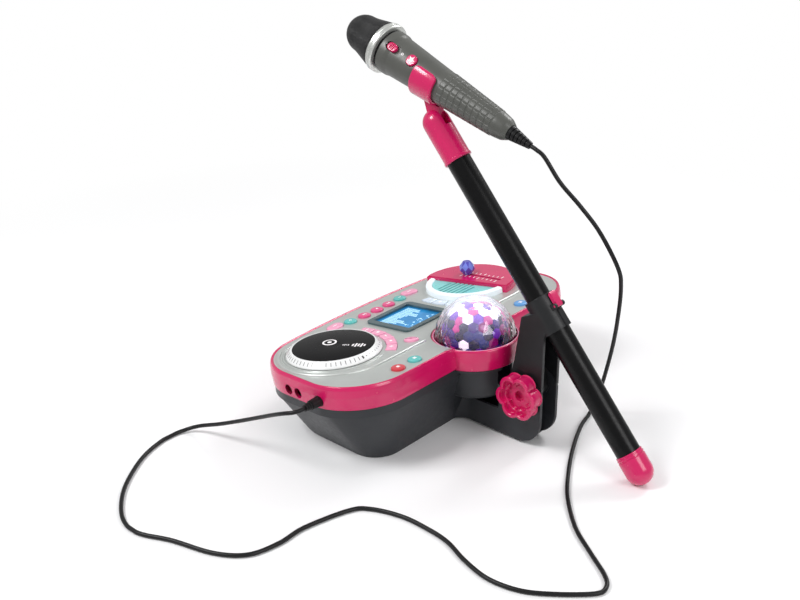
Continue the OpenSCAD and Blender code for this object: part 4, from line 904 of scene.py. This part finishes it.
def make_fader():
    """White graduations on both sides of the slot, and the cut gem that slides along it."""
    slot_x, low, high, steps, gap, rest_y = -12.5, -15.0, 33.0, 8, 4.2, -11
    plate = PANEL @ shift(-DISC, 0)
    marks = []
    for side in (-1, 1):
        for k in range(steps + 1):
            long = 5.0 if k % 4 == 0 else 3.4
            middle = slot_x + side * (gap + long / 2)
            mark = rectangle(long, 0.9, middle, low + (high - low) * k / steps)
            marks.append(pad(mark, 8.4, 8.58, 0.04, 1))
    piece("fader_marks", joined(marks), "mark", "console", plate, smooth=30)
    sides = 7
    rings = zigzag_rings([(5.0, 8.9), (8.8, 14.2), (8.4, 18.6), (4.4, 23.8)], sides)
    points = [p for ring in rings for p in ring]
    faces = [tuple(range(sides)), tuple(range(len(points) - sides, len(points)))]
    faces += zigzag_faces(len(rings), sides)
    stem = pad(rectangle(2.2, 3.6), -9, 9.2, 0.1, 1)
    # Alternate facets take the lit and the shaded paint: painted light and shade on the gem
    piece("fader_gem", joined([(points, faces), stem]), ["knob_gem_painted_light", "knob_gem_painted_shade"], "fader",
          plate @ shift(slot_x, rest_y), "fader_knob", smooth=0,
          picks=[i % 2 for i in range(len(faces))] + shades((1, stem)))


# ---------------------------- stand
PETAL_STEPS = 180


def petal_ring(radius, lobe, z):
    """A closed ring with six soft petals."""
    turn, power = 8.0, 0.75
    ring = []
    for j in range(PETAL_STEPS):
        a = TAU * j / PETAL_STEPS
        wave = abs(math.cos(3 * (a - math.radians(turn)))) ** power
        ring.append(polar(radius - lobe + lobe * wave, a, z))
    return ring


def make_flower():
    """Clamp knob: a six-petal cup with a second flower sunk in it and a round hole."""
    back, face = 17.4, 31.4
    levels = [(0.3, 0, 14.8), (9, 0, 14.8), (9, 0, back), (21.6, 3.8, back)]
    levels += [(23 - 1.2 * (1 - math.cos(a)), 4.2, back + 1.2 * math.sin(a)) for a in (0.5, 1.57)]
    levels += [(23 - 1.5 * (1 - math.cos(a)), 4.2, face - 1.5 + 1.5 * math.sin(a))
               for a in (0, 0.5, 1.0, 1.57)]
    levels += [(19.6, 4.2, face), (19.1, 4.2, face - 0.5), (18.7, 4.2, face - 4.6), (15.4, 3.2, face - 4.9),
               (14.6, 3.2, face - 4.5), (14.0, 3.0, face - 5.0), (13.6, 2.9, face - 8.2)]
    rings = [petal_ring(*level) for level in levels]
    hole = ((5.2, face - 8.2), (5.2, face - 13), (0.104, face - 13))
    rings += [ring_of(r, z, PETAL_STEPS) for r, z in hole]
    piece("flower_knob", stacked(rings), "pink", "clamp", KNOB, "clamp_knob", smooth=35)
    bolt = lathe([(0, -18.6), (2.6, -18.6), (3, -18.2), (3, 14.9), (0, 14.9)], 32)
    piece("clamp_bolt", bolt, "steel", "clamp", KNOB)


def make_pole():
    """Foot with its stepped rings, the cap whose slot holds the clip, and the clip's pin."""
    end_r, tube_r = 13.5, 12.05
    drop = (CLIP.z / MM - end_r) / math.cos(math.radians(POLE_LEAN)) - PIN_UP
    steps = [(13.5, 13.4), (13.0, 13.9), (13.0, 14.7), (13.4, 15.0), (13.4, 16.4), (12.9, 16.8), (12.9, 17.6),
             (13.2, 17.9), (13.1, 18.8), (12.7, 19), (tube_r, 19), (tube_r, 8), (0, 8)]
    foot = arc(0, -drop, end_r, -90, 0, 15) + [(r, z - drop) for r, z in steps]
    piece("foot", lathe(foot, 96), "pink", "mast", POLE, "pole_foot")
    skirt = [(0, -36.4), (tube_r, -36.4), (tube_r, -42), (13.6, -42, 0.4), (14.1, -41.4, 0.4),
             (14.1, -39.4, 0.5), (13.5, -38.8, 0.3), (13.5, -30)]
    at = POLE @ shift(0, 0, PIN_UP)
    cap = lathe(rounded(skirt) + arc(0, 0, end_r, 0, 90, 15), 96)
    made = piece("cap", cap, "pink", "mast", at, "pole_cap")
    cut(made, moved(pad(rectangle(8.6, 80), -8, 60, 0.1, 1), at))
    pin = lathe([(0, -12), (2, -12), (2, 12), (0, 12)], 32)
    piece("clip_pin", pin, "pink", "mast", Matrix.Translation(CLIP) @ spin(90, "Y"))


# ---------------------------- microphone
# Radii at the waist and the tail of the handle, and their distances behind the ring
WAIST_R, WAIST_Z, TAIL_R, TAIL_Z = 20.0, 18.0, 12.2, 147.0
TAPER = (WAIST_R - TAIL_R) / (TAIL_Z - WAIST_Z)
CONTROLS_TURN = -48


def on_handle(r, z):
    """A frame on the side with the controls, whose z points out of the handle."""
    return MIC @ spin(CONTROLS_TURN) @ shift(0, r, -z) @ spin(-90, "X")


def grip_radius(z):
    """Radius of the handle at a distance behind the ring, in millimetres."""
    if z < 14:
        return 21.5 - 0.02 * z
    if z < WAIST_Z:
        return 21.2 + (WAIST_R - 21.2) * (z - 14) / (WAIST_Z - 14)
    if z <= TAIL_Z:
        return WAIST_R - (z - WAIST_Z) * TAPER
    if z <= 155:
        return TAIL_R - 1.4 * (z - TAIL_Z) / 8
    return 10.8 - 2.8 * (z - 155) / 5


def block_height(z, turn):
    """Height of the raised blocks in rings round the lower handle, in millimetres."""
    first, pitch, rows, blocks, height = 80.0, 7.1, 9, 14, 0.6
    row = (z - first) / pitch
    if not 0 <= row < rows:
        return 0.0
    along = row - math.floor(row)
    share = (turn / TAU * blocks) % 1.0
    edge_z = min(along, 1 - along) * pitch
    edge_a = min(share, 1 - share) * TAU * grip_radius(z) / blocks
    return height * min(1.0, max(0.0, (edge_z - 0.35) / 0.6)) * min(1.0, max(0.0, (edge_a - 0.25) / 0.5))


def make_handle():
    steps = 168
    spots = [6.0 + 0.55 * k for k in range(25)] + [20 + 2.0 * k for k in range(30)]
    spots += [79.5 + 0.44 * k for k in range(149)] + [146 + 1.4 * k for k in range(11)]
    rings = [ring_of(20.0, -5.0, steps)]
    for z in spots:
        ring = []
        for j in range(steps):
            a = TAU * j / steps
            ring.append(polar(grip_radius(z) + block_height(z, a), a, -z))
        rings.append(ring)
    made = piece("handle", stacked(rings), "handle", "mic", MIC, "mic_handle", smooth=28)
    slot = pad(turned(capsule(17.6, 8.6), 90), 0, 9, 0.1, 1)
    hole = lathe([(0, 0), (5.9, 0), (5.9, 9), (0, 9)], 40)
    cut(made, moved(slot, on_handle(17.5, 19)), moved(hole, on_handle(15.9, 42.5)))


def make_controls():
    """Slide switch with three ridges, push button with a plain star, and the I and O marks."""
    shapes = [pad(turned(capsule(11, 8), 90), 0, 3.4, 0.8)]
    shapes += [pad(rectangle(5.4, 0.9, 0, y), 3.0, 4.2, 0.3, 3) for y in (-1.9, 0, 1.9)]
    piece("switch", joined(shapes), "pink", "mic_slider", on_handle(17.9, 17.5), "mic_switch")
    star = [(r * math.sin(TAU * k / 10), r * math.cos(TAU * k / 10)) for k, r in enumerate((4.3, 1.75) * 5)]
    button = pad(disc(5.5, 40), 0, 2.9, 0.7)
    mark = pad(star[::-1], 2.7, 3.0, 0.08, 2)
    piece("star_button", joined([button, mark]), ["pink", "mark"], "mic_push", on_handle(17.4, 42.5),
          "mic_button", picks=shades((0, button), (1, mark)))
    on_mark = pad(rectangle(0.7, 2.6), -0.4, 0.1, 0.05, 1)
    off_mark = lathe([(1.25, -0.4), (1.25, 0.1), (0.75, 0.1), (0.75, -0.4), (1.25, -0.4)], 20)
    marks = [moved(on_mark, on_handle(21.05, 9.4)), moved(off_mark, on_handle(19.25, 30.5))]
    piece("switch_marks", joined(marks), "mark", "mic", smooth=30)


def make_mic_head():
    """Head of wire mesh, with the silver ring and the dark seat behind it."""
    side = [(0, 5.1), (22.4, 5.1), (23.4, 6.2), (23.5, 8.0), (22.0, 14.0), (20.4, 20.0), (19.1, 25.5)]
    crown = arc(0, 29.5, 18.5, 0, 90, 18)
    piece("head", lathe(side + crown, 128), "mesh", "mic", MIC, "mic_head")
    ring = [(0, -3), (23.2, -3), (24.4, -2.9, 0.5), (25, -1.6, 0.5), (25, 0.1, 0.2), (24.5, 0.5, 0.2),
            (24.5, 1.2, 0.2), (25, 1.6, 0.2), (25, 3.6, 0.7), (23.8, 5, 0.6), (0, 5)]
    piece("silver_ring", lathe(rounded(ring), 128), "trim", "mic", MIC, "mic_ring")
    seat = lathe([(0, -3), (20.4, -3), (20.4, -5.2), (0, -5.2)], 96)
    piece("neck_ring", seat, "black", "mic", MIC)


def make_clip():
    """Saddle with rounded corners on a neck and barrel that turn on the pole's pin."""
    near, far, wall, gap, corner = 50.0, 76.0, 3.0, 0.35, 5.0
    first, last, steps, arm_r = 163.0, 402.0, 72, 19
    half, middle = (far - near) / 2, (near + far) / 2
    rings = []
    for k in range(steps + 1):
        turn = first + (last - first) * k / steps
        reach = math.radians(min(turn - first, last - turn)) * arm_r
        long = half
        if reach < corner:
            long -= corner - math.sqrt(max(0.0, corner ** 2 - (corner - reach) ** 2))
        section = rounded([(0, -long, 0), (0, -long + 0.1, 0), (0, long, 0.5), (wall, long, 0.9),
                           (wall, -long, 0.9), (0, -long, 0.0)], 4)[1:]
        rings.append([polar(grip_radius(middle + along) + gap + out, math.radians(turn), -middle - along)
                      for out, along in section])
    saddle = moved(stacked(rings), MIC)
    up = (MIC @ Vector((0, 0, -middle * MM)) - CLIP) / MM
    low = grip_radius(middle) + 1.8
    head = [(up.y + 9, up.z - low - 4), (up.y - 9, up.z - low)]
    neck = moved(pad(arc(0, 0, 6, 180, 360, 18) + head, -4, 4, 0.5), Matrix.Translation(CLIP) @ SIDE_ON)
    piece("clip", joined([saddle, neck]), "pink", "clip", None, "mic_clip", smooth=35)


# ---------------------------- room
def make_floor():
    """A pale floor that fades into the bright room away from the middle."""
    size = 6.0
    mesh = bpy.data.meshes.new("floor")
    mesh.from_pydata([(-size, -size, 0), (size, -size, 0), (size, size, 0), (-size, size, 0)], [],
                     [(0, 1, 2, 3)])
    floor = in_scene("floor", mesh)
    floor.location.z = -0.2 * MM
    g = Graph(bpy.data.materials.new("floor"))
    g.shader.inputs["Base Color"].default_value = (0.93, 0.93, 0.94, 1)
    g.shader.inputs["Roughness"].default_value = 0.6
    far = g.add("ShaderNodeVectorMath", {0: g.place}, operation="LENGTH").outputs["Value"]
    seen = g.add("ShaderNodeLightPath").outputs["Is Camera Ray"]
    bright = g.add("ShaderNodeEmission", {"Strength": g.range(seen, 0.5, 1.0, 0, 1)})
    blend = g.add("ShaderNodeMixShader", {0: g.range(far, 0, 1, 0.3, 0.85), 1: g.shader.outputs[0],
                                          2: bright.outputs[0]})
    g.join(blend.outputs[0], g.tree.nodes["Material Output"].inputs["Surface"])
    mesh.materials.append(g.owner)


def make_room():
    """White surroundings, dimmer as a light than as they look, and three soft lamps."""
    make_floor()
    world = bpy.data.worlds.new("room")
    bpy.context.scene.world = world
    g = Graph(world, "Background")
    path = g.add("ShaderNodeLightPath").outputs
    seen = g.math("MAXIMUM", path["Is Camera Ray"], path["Is Transmission Ray"])
    g.join(g.range(seen, 0.5, 1.0, 0, 1), g.shader.inputs["Strength"])
    g.shader.inputs["Color"].default_value = (1, 1, 1, 1)
    aim = Vector((0, 0.05, 0.1))
    for name, place, energy, size in (("key", (1.1, -0.5, 1.5), 20, 0.6), ("fill", (0.2, 1.6, 1.1), 10, 0.8),
                                      ("left", (-1.2, 0.2, 1.2), 9, 0.5)):
        data = bpy.data.lights.new(name, "AREA")
        data.energy = energy
        data.size = size
        turn = (aim - Vector(place)).to_track_quat("-Z", "Y").to_matrix().to_4x4()
        in_scene(name, data).matrix_world = Matrix.Translation(place) @ turn
    bpy.context.scene.view_settings.view_transform = "Standard"


make_camera()
MATERIALS = make_materials()
make_cable()
dress_nodes()
make_band()
make_collar()
make_dome()
make_ball()
make_platter()
make_keys()
make_screen()
make_fader()
make_flower()
make_pole()
make_clip()
make_handle()
make_controls()
make_mic_head()
make_room()
